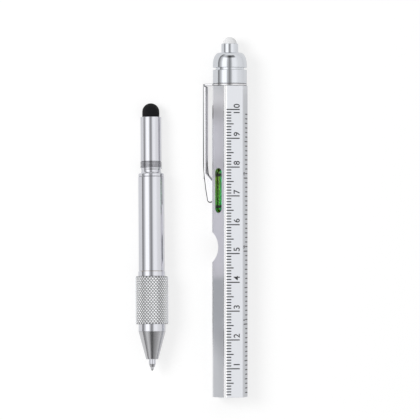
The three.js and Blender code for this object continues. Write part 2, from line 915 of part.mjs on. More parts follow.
function camSleeve() {
  const sleeve = turned([
    [camBoreRadius, camBottom],
    [camRadius, camBottom],
    [camRadius, camTop],
    [camBoreRadius, camTop],
  ], innerSegments);
  return piece('cam_sleeve', carve(sleeve, helicalSlot()), finishes.brass);
}

function guideSleeve() {
  const flangeRadius = barrelBoreRadius - pressGap;
  const bottom = guideTop - guideLength;
  const sleeve = turned([
    [guideBoreRadius, bottom],
    [guideRadius, bottom],
    [guideRadius, guideFlangeBottom],
    [flangeRadius, guideFlangeBottom],
    [flangeRadius, guideTop],
    [guideBoreRadius, guideTop],
  ], innerSegments);
  const slotHalf = pinRadius + runGap;
  const slotLength = refillTravel + 2 * slotHalf;
  const slotBox = new THREE.BoxGeometry(2 * slotHalf, slotLength, guideRadius);
  slotBox.translate(0, pinHeight + refillTravel / 2, guideRadius);
  return piece('guide_sleeve', carve(sleeve, slotBox), finishes.plastic);
}

function camFollower() {
  const body = turned([
    [refillRadius + pressGap, followerBottom],
    [followerRadius, followerBottom],
    [followerRadius, followerTop],
    [0, followerTop],
    [0, refillLength + seatGap],
    [refillRadius + pressGap, refillLength + seatGap],
  ], innerSegments);
  const pinStart = (followerRadius + refillRadius) / 2;
  const pinEnd = camRadius - seatGap;
  const pin = new THREE.CylinderGeometry(pinRadius, pinRadius, pinEnd - pinStart, 2 * arcSteps);
  pin.rotateX(Math.PI / 2);
  pin.translate(0, pinHeight, (pinStart + pinEnd) / 2);
  return piece('cam_follower', weld(body, pin), finishes.plastic);
}

// Insert: stylus end

function threadCoupling() {
  const bore = guideBoreRadius;
  const crest = threadDiameter / 2;
  const spigot = stylusTubeDiameter / 2 - stylusTubeWall - pressGap;
  const ridges = [];
  for (let turn = 0; turn < threadTurns; turn += 1) {
    const y = threadBottom + (threadLength * turn) / threadTurns;
    ridges.push([crest - threadDepth, y], [crest, y + threadLength / threadTurns / 2]);
  }
  return piece('thread_coupling', turned([
    [bore, couplingBottom],
    [barrelBoreRadius - pressGap, couplingBottom],
    [barrelBoreRadius - pressGap, rimBottom],
    [rimDiameter / 2 - rimEdge, rimBottom],
    [rimDiameter / 2, rimBottom + rimEdge],
    [rimDiameter / 2, rimTop - rimEdge],
    [rimDiameter / 2 - rimEdge, rimTop],
    [reliefDiameter / 2, rimTop],
    [reliefDiameter / 2, threadBottom],
    ...ridges,
    [crest - threadDepth, threadTop],
    [spigot, threadTop],
    [spigot, threadTop + couplingSpigot],
    [bore, threadTop + couplingSpigot],
  ]), finishes.chrome);
}

const stylusBoreRadius = stylusTubeDiameter / 2 - stylusTubeWall;
const rubberRadius = rubberDiameter / 2;

function stylusTube() {
  const hole = rubberRadius + pressGap;
  return piece('stylus_tube', turned([
    [stylusBoreRadius, stylusTubeBottom],
    [stylusTubeDiameter / 2, stylusTubeBottom],
    [stylusTubeDiameter / 2, stylusTubeTop],
    [hole, stylusTubeTop],
    [hole, stylusTubeTop - stylusTubeLip],
    [stylusBoreRadius, stylusTubeTop - stylusTubeLip],
  ]), finishes.chrome);
}

const rubberFootTop = stylusTubeTop - stylusTubeLip - seatGap;
const rubberFootBottom = rubberFootTop - rubberFootLength;
const rubberDomeCentre = stylusTubeTop + rubberReach - rubberRadius;

function stylusTip() {
  const foot = stylusBoreRadius - pressGap;
  const hollow = rubberRadius - rubberWall;
  const dome = arc(0, rubberDomeCentre, rubberRadius, rubberRadius, 0, Math.PI / 2, domeSteps);
  const ceiling = arc(0, rubberDomeCentre, hollow, hollow, Math.PI / 2, 0);
  dome[domeSteps][0] = 0;
  ceiling[0][0] = 0;
  return piece('stylus_tip', turned([
    ...ceiling,
    [hollow, rubberFootBottom],
    [foot, rubberFootBottom],
    [foot, rubberFootTop],
    [rubberRadius, rubberFootTop],
    ...dome,
  ]), finishes.rubber);
}

function stylusPlug() {
  const top = rubberFootBottom - seatGap;
  const stem = rubberRadius - rubberWall - pressGap;
  return piece('stylus_plug', turned([
    [0, top - stylusPlugLength],
    [stylusBoreRadius - pressGap, top - stylusPlugLength],
    [stylusBoreRadius - pressGap, top],
    [stem, top],
    [stem, rubberDomeCentre],
    [0, rubberDomeCentre],
  ], innerSegments), finishes.steel);
}

/** The least height of a group's points. */
function lowestPoint(group) {
  return new THREE.Box3().setFromObject(group, true).min.z;
}

const caseGroup = new THREE.Group();
caseGroup.name = 'case_axis';
caseGroup.add(
  hexTube(), threadBush(), vialCarrier(), vialTube(), vialPlug(), vialLiquid(), vialBubble(),
  clipRing(), clipArm(), batterySleeve(), batterySpring(), topCollar(), headSeal(),
  domeCap(), ledBezel(), ledBulb(), ledHolder(), ledBoard(), ledContact());
for (let number = 1; number <= cellCount; number += 1) {
  caseGroup.add(batteryCell(number));
}
caseGroup.rotation.y = caseRoll;
caseGroup.position.set(axisSpacing / 2, 0, -lowestPoint(caseGroup));

// The insert lies on its grip's upper edge and on its rim.
const insertGroup = new THREE.Group();
insertGroup.name = 'insert_axis';
insertGroup.add(
  refillBall(), refillTip(), refillTube(), noseCone(), knurledGrip(), insertBarrel(),
  camSleeve(), guideSleeve(), camFollower(), threadCoupling(), stylusTube(), stylusTip(),
  stylusPlug());
insertGroup.rotation.x = -Math.atan2(
  (gripDiameter - rimDiameter) / 2, rimTop - rimEdge - gripTop + gripEdge);
insertGroup.position.set(-axisSpacing / 2, insertSetback, -lowestPoint(insertGroup));

// The origin is under the middle of the footprint.
const pen = new THREE.Group();
pen.name = 'multifunction_pen';
pen.add(caseGroup, insertGroup);
const footprint = new THREE.Box3().setFromObject(pen, true).getCenter(new THREE.Vector3());
pen.position.set(-footprint.x, -footprint.y, 0);

export default pen;
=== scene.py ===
"""Multifunction pen: a hexagonal ruler case with a level, a clip and a light, and its insert.

The case and the insert lie side by side on a white table. Each is drawn in millimetres
along its own axis, Y, and is then set down on the table in metres.
"""

import logging
import math
from collections.abc import Sequence
from dataclasses import dataclass, replace
from enum import Enum

import bmesh
import bpy
from mathutils import Matrix, Vector


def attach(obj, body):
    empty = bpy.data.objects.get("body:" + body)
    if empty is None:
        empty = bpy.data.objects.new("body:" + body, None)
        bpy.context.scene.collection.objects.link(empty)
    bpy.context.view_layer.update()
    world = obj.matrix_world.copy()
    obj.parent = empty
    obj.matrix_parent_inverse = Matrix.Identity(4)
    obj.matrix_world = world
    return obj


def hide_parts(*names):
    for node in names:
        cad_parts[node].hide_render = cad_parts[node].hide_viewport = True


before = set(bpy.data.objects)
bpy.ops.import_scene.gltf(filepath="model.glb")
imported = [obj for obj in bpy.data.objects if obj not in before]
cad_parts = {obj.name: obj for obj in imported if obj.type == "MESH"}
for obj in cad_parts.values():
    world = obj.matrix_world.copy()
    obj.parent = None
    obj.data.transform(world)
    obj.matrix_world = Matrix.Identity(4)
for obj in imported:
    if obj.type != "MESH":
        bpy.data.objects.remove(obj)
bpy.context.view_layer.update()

LOG = logging.getLogger("pen")
MM = 0.001
INCH = 25.4
FULL = 2 * math.pi
LATHE_STEPS = 96
FINE_STEPS = 64
COARSE_STEPS = 32
CORNER_ANGLE = math.radians(40)
STRAIGHT = math.radians(170)
FILLET_LIMIT = 0.4
FILLET_GUARD = 1.2
NEAR = 0.01
WELD = 1e-5
NODE_WELD = 2e-6
FLAT_ANGLE = math.radians(0.5)
BROAD_DETAIL = 2.0

Corner = tuple[float, ...]
Profile = tuple[Corner, ...]
Triple = tuple[float, float, float]
Colour = Triple
Span = tuple[float, float]
Socket = bpy.types.NodeSocket
Mesh = bmesh.types.BMesh


class Body(Enum):
    """The bodies that pieces ride on."""

    CASE = "case_and_barrel"
    LIGHT = "led_module"
    HEAD = "head_shell"
    CLIP = "clip"
    BUBBLE = "bubble"
    GRIP = "grip"
    REFILL = "refill"


class Slot(Enum):
    """The record's material slots."""

    ALUMINIUM = "anodised_aluminium"
    CHROME = "polished_chrome"
    SATIN = "satin_steel"
    KNURL = "knurled_chrome"
    STEEL = "plain_steel"
    BRASS = "brass"
    RUBBER = "black_rubber"
    PLASTIC = "white_plastic"
    BOARD = "green_board"
    ACRYLIC = "clear_acrylic"
    LIQUID = "green_liquid"
    BUBBLE = "air_bubble"
    LENS = "clear_led"


class Facet(Enum):
    """The case's facets, by their turn about its axis from the ruler's facet, in degrees."""

    METRIC = 0
    INCH = 60
    LEVEL = -60
    CLIP = -120


def about(axis: str, degrees: float) -> Matrix:
    """Returns a turn about an axis."""
    return Matrix.Rotation(math.radians(degrees), 4, axis)


@dataclass(frozen=True)
class Axis:
    """A straight axis on the table, drawn in millimetres along Y.

    Attributes:
        start: where the axis begins, in millimetres.
        tilt: its turns about X and Y, in degrees.
    """

    start: Triple
    tilt: Span

    def turn(self) -> Matrix:
        """Returns the axis's rotation."""
        return about("Y", self.tilt[1]) @ about("X", self.tilt[0])

    def place(self, facet: Facet = Facet.METRIC) -> Matrix:
        """Gives the matrix from a drawing on a facet, in millimetres, to the table, in metres."""
        on_table = Matrix.Scale(MM, 4) @ Matrix.Translation(self.start)
        return on_table @ self.turn() @ about("Y", facet.value)


CASE_AXIS = Axis(start=(13.42444, -62.655, 5.98795), tilt=(0.0, 5.0))
INSERT_AXIS = Axis(start=(-14.07556, -53.255, 6.96223), tilt=(-2.0779, 0.0))
ON_CASE = CASE_AXIS.place()
ON_INSERT = INSERT_AXIS.place()


# Shader graphs


class Value:
    """A number that a node gives. Its operators add Math nodes."""

    def __init__(self, graph: "Graph", socket: Socket) -> None:
        """Keeps the graph and the socket."""
        self.graph = graph
        self.socket = socket

    def math(self, operation: str, *others: "Value | float") -> "Value":
        """Adds a Math node with this number as its first operand."""
        return self.graph.value("ShaderNodeMath", {"operation": operation},
                                dict(enumerate((self, *others))))

    def __add__(self, other: "Value | float") -> "Value":
        """Adds."""
        return self.math("ADD", other)

    def __sub__(self, other: "Value | float") -> "Value":
        """Subtracts."""
        return self.math("SUBTRACT", other)

    def __rsub__(self, other: float) -> "Value":
        """Subtracts from a number."""
        return self * -1.0 + other

    def __mul__(self, other: "Value | float") -> "Value":
        """Multiplies."""
        return self.math("MULTIPLY", other)

    __radd__ = __add__
    __rmul__ = __mul__

    def ramp(self, low: float, high: float) -> "Value":
        """Rises smoothly from 0 at low to 1 at high, or falls where high is below low."""
        return self.graph.value("ShaderNodeMapRange", {"interpolation_type": "SMOOTHSTEP"},
                                {"Value": self, "From Min": low, "From Max": high})


class Graph:
    """The node tree of a material or of the world."""

    def __init__(self, owner: bpy.types.Material | bpy.types.World) -> None:
        """Starts from an empty tree.

        Args:
            owner: what the tree belongs to.
        """
        owner.use_nodes = True
        self.tree = owner.node_tree
        self.tree.nodes.clear()

    def node(
        self, kind: str, settings: dict | None = None, inputs: dict | None = None
    ) -> bpy.types.Node:
        """Adds any node.

        Args:
            kind: the node's type.
            settings: its properties, which are set first; "stops" sets a colour ramp.
            inputs: values or links for its sockets, by name or number.

        Returns:
            The node.
        """
        made = self.tree.nodes.new(kind)
        for name, setting in (settings or {}).items():
            if name == "stops":
                self.set_stops(made.color_ramp, setting)
            else:
                setattr(made, name, setting)
        for name, given in (inputs or {}).items():
            socket = made.inputs[name]
            given = getattr(given, "socket", given)
            if isinstance(given, Socket):
                self.tree.links.new(given, socket)
            else:
                socket.default_value = given
        return made

    @staticmethod
    def set_stops(ramp: bpy.types.ColorRamp, stops: Sequence[tuple]) -> None:
        """Sets a colour ramp's stops.

        Args:
            ramp: the ramp.
            stops: pairs of a place and a colour.
        """
        while len(ramp.elements) < len(stops):
            ramp.elements.new(1.0)
        for element, (place, colour) in zip(ramp.elements, stops):
            element.position, element.color = place, (*colour, 1.0)

    def value(self, kind: str, settings: dict, inputs: dict) -> Value:
        """Adds a node and gives its first output as a number."""
        return Value(self, self.node(kind, settings, inputs).outputs[0])

    def parts(self, vector: Socket) -> list[Value]:
        """Splits a vector into its three numbers."""
        split = self.node("ShaderNodeSeparateXYZ", inputs={"Vector": vector})
        return [Value(self, output) for output in split.outputs]

    def rays(self) -> list[Value]:
        """Tells the kinds of ray apart.

        Returns:
            Whether it is the camera's, a glossy one, or one that passed through.
        """
        paths = self.node("ShaderNodeLightPath").outputs
        return [Value(self, paths[f"Is {kind} Ray"])
                for kind in ("Camera", "Glossy", "Transmission")]

    def noise(self, at: Socket, size: Sequence[float], detail: float = 3.0) -> Value:
        """Adds noise.

        Args:
            at: its coordinates.
            size: the size of its grains along each axis.
            detail: how many finer layers it has.

        Returns:
            The noise, which lies about 0.5.
        """
        scaled = self.node("ShaderNodeMapping", {"vector_type": "TEXTURE"},
                           {"Vector": at, "Scale": size})
        return self.value("ShaderNodeTexNoise", {},
                          {"Vector": scaled.outputs[0], "Scale": 1.0, "Detail": detail})

    def blend(self, share: Value, low: Colour | Socket, high: Colour | Socket) -> Socket:
        """Mixes two colours.

        Args:
            share: how much of the high colour there is, from 0 to 1.
            low: the colour at 0.
            high: the colour at 1.

        Returns:
            The mixed colour.
        """
        low, high = (given if isinstance(given, Socket) else (*given, 1.0)
                     for given in (low, high))
        return self.node("ShaderNodeMix", {"data_type": "RGBA"},
                         {0: share, 6: low, 7: high}).outputs[2]

    def finish(self, shader: bpy.types.Node, kind: str = "Material") -> None:
        """Makes a shader the tree's output."""
        self.node(f"ShaderNodeOutput{kind}", inputs={"Surface": shader.outputs[0]})


# Finishes


@dataclass
class Draft:
    """A shader while it is drawn up.

    Attributes:
        graph: the material's graph.
        at: the coordinates in millimetres along the finish's axis.
        grain: the noise of the surface's grain.
        inputs: what the shader's sockets take.
    """

    graph: Graph
    at: Socket
    grain: Value
    inputs: dict


@dataclass(frozen=True)
class Finish:
    """What every finish has: a name, a colour, a roughness, and how they vary.

    Attributes:
        name: the material's name.
        slot: the record's slot; not used.
        colour: the base colour.
        roughness: the mean roughness.
        metallic: 1 for a metal.
        grain: the size of the surface's grain, in millimetres.
        cloud: the size of its broad unevenness.
        relief: how far the grain stands out, in millimetres.
        spread: how far the roughness strays from its mean.
        tone: how far the colour strays, as a share of it.
        axis: the axis that the grain follows.
    """

    name: str
    slot: Slot
    colour: Colour
    roughness: float
    metallic: float = 0.0
    grain: Triple = (0.3, 0.3, 0.3)
    cloud: Triple = (6.0, 9.0, 6.0)
    relief: float = 0.002
    spread: float = 0.05
    tone: float = 0.06
    axis: Axis = CASE_AXIS

    def material(self) -> bpy.types.Material:
        """Builds the material once.

        Returns:
            It, or the one of that name that is there already.
        """
        known = bpy.data.materials.get(self.name)
        if known:
            return known
        made = bpy.data.materials.new(self.name)
        graph = Graph(made)
        graph.finish(graph.node("ShaderNodeBsdfPrincipled", inputs=self.draft(graph).inputs))
        return made

    def place(self, graph: Graph) -> Socket:
        """Finds places along the finish's axis.

        Args:
            graph: the material's graph.

        Returns:
            The coordinates, in millimetres.
        """
        return graph.node("ShaderNodeMapping", {"vector_type": "TEXTURE"}, {
            "Vector": graph.node("ShaderNodeTexCoord").outputs["Object"],
            "Location": MM * Vector(self.axis.start),
            "Rotation": self.axis.turn().to_euler("XYZ"),
            "Scale": (MM, MM, MM),
        }).outputs[0]

    def draft(self, graph: Graph) -> Draft:
        """Draws up the shader.

        Args:
            graph: the material's graph.

        Returns:
            The shader's draft.
        """
        at = self.place(graph)
        grain = graph.noise(at, self.grain)
        cloud = graph.noise(at, self.cloud, BROAD_DETAIL)
        darker, lighter = (tuple(min(1.0, part * tone) for part in self.colour)
                           for tone in (1.0 - self.tone, 1.0 + self.tone))
        draft = Draft(graph, at, grain, {
            "Base Color": graph.blend(grain * 0.5 + cloud * 0.5, darker, lighter),
            "Roughness": self.roughness + (cloud - 0.5) * self.spread + (grain - 0.5) * self.spread,
            "Metallic": self.metallic,
            "Normal": self.bump(graph, grain),
        })
        self.vary(draft)
        return draft

    def vary(self, draft: Draft) -> None:
        """Changes the draft's inputs, where a kind of finish needs it."""

    def bump(self, graph: Graph, height: Value) -> Socket:
        """Turns a height from 0 to 1 into a normal."""
        inputs = {"Height": height, "Distance": self.relief * MM, "Strength": 1.0}
        return graph.node("ShaderNodeBump", inputs=inputs).outputs[0]


@dataclass(frozen=True)
class Anodised(Finish):
    """Extruded aluminium, satin anodised: a fine lengthwise grain, rubbed corners, and painted
    light that makes the left facets paler in their upper part.

    Attributes:
        corner: the distances from the axis between which the rubbing sets in.
        worn: how far to the right of the axis the rubbing fades out.
        bare: the rubbed colour.
        shine: how much smoother the rubbed corners are.
        left: how far to the left of the axis the painted light on the facets begins.
        above: where along the axis the painted light sets in.
        below: where along the axis the painted light fades out.
        pale: the colour of the painted light.
    """

    corner: Span = (6.1, 6.24)
    worn: Span = (0.5, 3.0)
    bare: Colour = (0.93, 0.93, 0.94)
    shine: float = 0.2
    left: Span = (-3.0, -3.4)
    above: Span = (40.0, 43.0)
    below: Span = (110.0, 101.0)
    pale: Colour = (0.94, 0.93, 0.98)

    def vary(self, draft: Draft) -> None:
        """Adds the rubbed corners, and painted light that makes the left facets paler, to the
        grain.

        Args:
            draft: the shader's draft.
        """
        blend = draft.graph.blend
        across, along, up = draft.graph.parts(draft.at)
        reach = (across * across + up * up).math("SQRT")
        rubbed = reach.ramp(*self.corner) * (1.0 - across.ramp(*self.worn))
        # Painted light: the left facets turn paler over this stretch of the axis.
        upper = across.ramp(*self.left) * along.ramp(*self.above) * along.ramp(*self.below)
        rough = self.roughness + (draft.grain - 0.5) * self.spread - rubbed * self.shine
        with_painted_light = blend(upper, self.colour, self.pale)
        draft.inputs |= {"Roughness": rough, "Base Color": blend(rubbed, with_painted_light, self.bare)}


@dataclass(frozen=True)
class Chrome(Finish):
    """Polished plate with a faint haze of wiping marks round the axis.

    Attributes:
        marks: the size of the wiping marks.
        shown: how strong the noise is where marks begin to show, and where they show in full.
        haze: how much rougher they are.
    """

    metallic: float = 1.0
    relief: float = 0.0003
    spread: float = 0.04
    tone: float = 0.02
    marks: Triple = (0.9, 0.05, 0.9)
    shown: Span = (0.55, 0.8)
    haze: float = 0.03

    def vary(self, draft: Draft) -> None:
        """Adds fine wiping marks to the haze."""
        marks = draft.graph.noise(draft.at, self.marks, BROAD_DETAIL)
        draft.inputs["Roughness"] += marks.ramp(*self.shown) * self.haze


@dataclass(frozen=True)
class Knurled(Finish):
    """Plated knurl: bright on the crests and rougher in the grooves, which painted shade darkens.

    Attributes:
        floor: the grooves' radius and the crests' radius.
        groove: the colour of the painted shade in the grooves.
        dull: how much rougher the grooves are.
    """

    floor: Span = (5.43, 5.62)
    groove: Colour = (0.03, 0.03, 0.032)
    dull: float = 0.1

    def vary(self, draft: Draft) -> None:
        """Paints shade into the grooves, darker by their depth.

        Args:
            draft: the shader's draft.
        """
        across, _, up = draft.graph.parts(draft.at)
        crest = (across * across + up * up).math("SQRT").ramp(*self.floor)
        # The grooves' dark colour is painted shade.
        draft.inputs |= {"Roughness": self.roughness + (1.0 - crest) * self.dull,
                         "Base Color": draft.graph.blend(crest, self.groove, self.colour)}


@dataclass(frozen=True)
class Woven(Finish):
    """Black rubber with the fine weave of a stylus tip.

    Attributes:
        radius: the tip's radius.
        pitch: the weave's pitch, in millimetres.
        sheen: how much its surface reflects.
    """

    radius: float = 2.975
    pitch: float = 0.42
    sheen: float = 0.14

    def vary(self, draft: Draft) -> None:
        """Adds the weave's bumps.

        Args:
            draft: the shader's draft.
        """
        across, along, up = draft.graph.parts(draft.at)
        turn = across.math("ARCTAN2", up) * self.radius
        beat = FULL / self.pitch
        waves = (turn * beat).math("SINE") * (along * beat).math("SINE")
        draft.inputs |= {"Normal": self.bump(draft.graph, waves * 0.5 + 0.5),
                         "Specular IOR Level": self.sheen}


@dataclass(frozen=True)
class Clear(Finish):
    """Clear or tinted solid that light passes through.

    Attributes:
        index: its index of refraction.
        passes: the share of light that passes.
    """

    spread: float = 0.01
    tone: float = 0.02
    index: float = 1.49
    passes: float = 1.0

    def vary(self, draft: Draft) -> None:
        """Adds transmission."""
        draft.inputs |= {"IOR": self.index, "Transmission Weight": self.passes}


@dataclass(frozen=True)
class Tinted(Clear):
    """A green with painted shade that makes it olive on its left side.

    Attributes:
        shaded: the painted shade's colour at the upper left.
        settled: the painted shade's colour at the lower left.
        along: where along the case's axis the painted shade turns from one colour to the other.
        across: the distances left of the case's axis where the painted shade gives way to the
            colour.
    """

    shaded: Colour = (1.0, 0.72, 0.002)
    settled: Colour = (0.35, 0.85, 0.002)
    along: Span = (64.0, 78.0)
    across: Span = (-4.2, -3.6)

    def vary(self, draft: Draft) -> None:
        """Paints shade: turns the colour from olive at the left to green at the right.

        Args:
            draft: the shader's draft.
        """
        super().vary(draft)
        across, along, _ = draft.graph.parts(draft.at)
        # Painted shade on the left side, turning in colour along the axis.
        left = draft.graph.blend(along.ramp(*self.along), self.settled, self.shaded)
        draft.inputs["Base Color"] = draft.graph.blend(
            across.ramp(*self.across), left, self.colour)


@dataclass(frozen=True)
class Ink(Finish):
    """Dark print whose edges are slightly worn.

    Attributes:
        flecks: the size of the worn flecks.
        worn: how strong the noise is where wear begins to show, and where it shows in full.
        faded: how much lighter the worn print is.
    """

    relief: float = 0.001
    flecks: Triple = (0.12, 0.12, 0.12)
    worn: Span = (0.62, 0.8)
    faded: float = 0.12

    def vary(self, draft: Draft) -> None:
        """Breaks the print up a little.

        Args:
            draft: the shader's draft.
        """
        worn = draft.graph.noise(draft.at, self.flecks).ramp(*self.worn)
        lighter = tuple(part + self.faded for part in self.colour)
        draft.inputs["Base Color"] = draft.graph.blend(worn, self.colour, lighter)


ALUMINIUM = Anodised(
    "satin_anodised_aluminium", Slot.ALUMINIUM, (0.715, 0.73, 0.765), 0.34, 1.0,
    grain=(0.035, 3.0, 0.035), relief=0.0012, spread=0.1, tone=0.03)
CHROME = Chrome("case_chrome", Slot.CHROME, (0.645, 0.665, 0.70), 0.06,
                grain=(0.2, 0.2, 0.2), relief=0.0002, spread=0.03)
INSERT_CHROME = replace(CHROME, name="insert_chrome", colour=(0.645, 0.65, 0.69),
                        roughness=0.08, axis=INSERT_AXIS)
CLIP_CHROME = Chrome("clip_chrome", Slot.CHROME, (0.70, 0.70, 0.72), 0.2,
                     grain=(0.15, 0.6, 0.15))
# Near-black chrome, painted as shade on the clip's and the ring's broken edges.
CLIP_PAINTED_SHADE = replace(CLIP_CHROME, name="clip_painted_shade", colour=(0.08, 0.08, 0.085))
RING_PAINTED_SHADE = replace(CLIP_PAINTED_SHADE, name="ring_edge", roughness=0.15, grain=(0.6, 0.15, 0.6))
SATIN = Finish("satin_turned_steel", Slot.SATIN, (0.57, 0.57, 0.59), 0.18, 1.0,
               grain=(1.5, 0.03, 1.5), relief=0.0005, tone=0.03, axis=INSERT_AXIS)
KNURL = Knurled("knurled_plate", Slot.KNURL, (0.97, 0.98, 1.0), 0.08, 0.86,
                grain=(0.1, 0.1, 0.1), relief=0.0008, spread=0.06, axis=INSERT_AXIS)
# The thread's darker colour is painted shade of its grooves.
THREAD_SHADED = Chrome("thread_steel_painted_shade", Slot.CHROME, (0.35, 0.35, 0.37), 0.12, tone=0.06,
                grain=(0.8, 0.05, 0.8), relief=0.001, spread=0.08, axis=INSERT_AXIS)
CARBIDE = Finish("ball_carbide", Slot.STEEL, (0.09, 0.085, 0.08), 0.2, 1.0,
                 grain=(0.05, 0.05, 0.05), relief=0.0006, spread=0.08)
STEEL = replace(CARBIDE, name="drawn_steel", colour=(0.62, 0.62, 0.64), roughness=0.24,
                grain=(0.05, 0.8, 0.05))
CELL = Finish("cell_nickel", Slot.STEEL, (0.66, 0.65, 0.63), 0.3, 1.0,
              grain=(0.1, 0.1, 0.1), relief=0.0008, spread=0.1)
BRASS = Finish("turned_brass", Slot.BRASS, (0.72, 0.55, 0.27), 0.28, 1.0,
               grain=(1.0, 0.04, 1.0), relief=0.0008, spread=0.08)
WOVEN = Woven("woven_rubber", Slot.RUBBER, (0.008, 0.008, 0.009), 0.65,
              grain=(0.15, 0.15, 0.15), relief=0.05, spread=0.15, tone=0.4, axis=INSERT_AXIS)
SEAL = Finish("seal_rubber", Slot.RUBBER, (0.02, 0.02, 0.02), 0.55, relief=0.003, tone=0.3)
PLASTIC = Finish("moulded_plastic", Slot.PLASTIC, (0.78, 0.78, 0.75), 0.5, relief=0.003)
CARRIER = replace(PLASTIC, name="carrier_plastic", colour=(0.50, 0.50, 0.01), roughness=0.9)
BOARD = Finish("board_laminate", Slot.BOARD, (0.05, 0.22, 0.09), 0.45, relief=0.003, tone=0.15)
# Both tinted finishes carry painted shade on their left side.
ACRYLIC = Tinted("vial_acrylic", Slot.ACRYLIC, (0.33, 0.78, 0.46), 0.03, relief=0.0002,
                 index=1.3, passes=0.95, shaded=(0.44, 0.58, 0.03),
                 settled=(0.24, 0.66, 0.10), across=(-4.9, -4.1))
LIQUID = Tinted("level_liquid", Slot.LIQUID, (0.03, 0.72, 0.85), 0.04, relief=0.0,
                tone=0.05, index=1.08, passes=0.2)
AIR = Clear("level_air", Slot.BUBBLE, (0.45, 0.80, 0.25), 0.03, relief=0.0,
            index=1.12, passes=0.8)
LENS = Clear("diffused_epoxy", Slot.LENS, (0.97, 0.975, 0.985), 0.16, relief=0.001,
             spread=0.05, tone=0.01, index=1.5, passes=0.15)
INK = Ink("ruler_ink", Slot.ALUMINIUM, (0.018, 0.018, 0.022), 0.5, tone=0.2)
LINE = Ink("level_line", Slot.RUBBER, (0.004, 0.006, 0.003), 0.6, tone=0.3)


# Shapes


def softened(corners: Sequence[Corner], fillet: float, closed: bool, steps: int = 4) -> list:
    """Rounds a profile's corners, and keeps the straight runs between them straight.

    Args:
        corners: [radius, place] corners, each with a fillet of its own where it has a third.
        fillet: the fillet of the others.
        closed: whether the profile runs round a ring.
        steps: how many segments a fillet has.

    Returns:
        The points of the rounded profile.
    """
    points = []
    for number, corner in enumerate(corners):
        here = Vector(corner[:2])
        size = corner[2] if len(corner) > 2 else fillet
        before = Vector(corners[number - 1][:2]) - here
        after = Vector(corners[(number + 1) % len(corners)][:2]) - here
        at_end = not closed and number in (0, len(corners) - 1)
        if at_end or size == 0.0 or before.angle(after) > STRAIGHT:
            points.append(here)
            continue
        size = min(size, FILLET_LIMIT * before.length, FILLET_LIMIT * after.length)
        before, after = size * before.normalized(), size * after.normalized()
        points.append(here + FILLET_GUARD * before)
        for step in range(steps + 1):
            share = step / steps
            points.append((1 - share) ** 2 * (here + before) + 2 * share * (1 - share) * here
                          + share**2 * (here + after))
        points.append(here + FILLET_GUARD * after)
    return points


def bow(start: Corner, end: Corner, sag: float, steps: int = 8) -> list[Corner]:
    """Gives the points between two corners on a shallow curve.

    Args:
        start: the first corner.
        end: the last corner.
        sag: how far the middle lies to the left of the straight line.
        steps: how many segments it has.

    Returns:
        The points with both ends, without fillets.
    """
    first, along = Vector(start), Vector(end) - Vector(start)
    side = Vector((-along.y, along.x)).normalized()
    return [
        (*(first + along * share + side * (4 * sag * share * (1 - share))), 0.0)
        for share in (step / steps for step in range(steps + 1))
    ]


def dome(radius: float, rise: float, foot: float, hub: float = 0.0, steps: int = 12) -> list:
    """Gives a quarter of an ellipse from its foot to its crown.

    Args:
        radius: the radius at the foot.
        rise: the crown's height above the foot.
        foot: the foot's place.
        hub: the radius at which the crown ends.
        steps: how many segments it has.

    Returns:
        The points, without fillets.
    """
    angles = [FULL / 4 * step / steps for step in range(steps)]
    return [*((hub + (radius - hub) * math.cos(angle), foot + rise * math.sin(angle), 0.0)
              for angle in angles), (hub, foot + rise, 0.0)]


def capsule(radius: float, front: float, rear: float) -> list[Corner]:
    """Gives the profile of a rod whose round ends have their middles at front and rear."""
    far = dome(radius, radius, rear)
    return [*((reach, front + rear - place, 0.0) for reach, place, _ in reversed(far)), *far]


def chain(points: Sequence[Sequence[float]], closed: bool) -> Mesh:
    """Draws a chain of edges in the plane of X and Y.

    Args:
        points: its points.
        closed: whether the last is joined to the first.

    Returns:
        The mesh, with no faces.
    """
    drawn = bmesh.new()
    made = [drawn.verts.new((point[0], point[1], 0.0)) for point in points]
    for first, second in zip(made, made[1:] + made[:1] if closed else made[1:]):
        drawn.edges.new((first, second))
    return drawn


def spun(body: Mesh, geom: Sequence, steps: int, turns: float = 1.0, rise: float = 0.0) -> Mesh:
    """Spins geometry about the Y axis.

    Args:
        body: its mesh.
        geom: what is spun.
        steps: how many segments it has.
        turns: how many turns it makes.
        rise: how far it moves along the axis at each step; without, it closes up.

    Returns:
        The mesh.
    """
    bmesh.ops.spin(body, geom=geom, cent=(0, 0, 0), axis=(0, 1, 0), dvec=(0, rise, 0),
                   angle=FULL * turns, steps=steps, use_merge=rise == 0.0,
                   use_normal_flip=False, use_duplicate=False)
    bmesh.ops.remove_doubles(body, verts=body.verts, dist=WELD)
    bmesh.ops.recalc_face_normals(body, faces=body.faces)
    return body


def turned(corners: Sequence[Corner], fillet: float = 0.08, steps: int = LATHE_STEPS) -> Mesh:
    """Turns a profile round the Y axis, as on a lathe.

    Args:
        corners: [radius, place] corners; a profile that starts on the axis also ends there.
        fillet: the fillet of its corners.
        steps: how many segments the turn has.

    Returns:
        The closed mesh.
    """
    closed = corners[0][0] > 0.0
    body = chain(softened(corners, fillet, closed), closed)
    return spun(body, [*body.verts, *body.edges], steps)


def raise_face(drawn: Mesh, by: Sequence[float]) -> None:
    """Extrudes a flat drawing.

    Args:
        drawn: the drawing.
        by: how far its face moves.
    """
    made = bmesh.ops.extrude_face_region(drawn, geom=drawn.faces[:])["geom"]
    tops = [item for item in made if isinstance(item, bmesh.types.BMVert)]
    bmesh.ops.translate(drawn, verts=tops, vec=by)


def bevelled(drawn: Mesh, edges: list, size: float, segments: int = 2) -> list:
    """Bevels edges and gives the new faces."""
    return bmesh.ops.bevel(drawn, geom=edges, offset=size, segments=segments, profile=0.5,
                           affect="EDGES", material=-1)["faces"]


def run_of(verts: Sequence[bmesh.types.BMVert]) -> float:
    """Gives how far vertices reach along Y."""
    places = [vert.co.y for vert in verts]
    return max(places) - min(places)


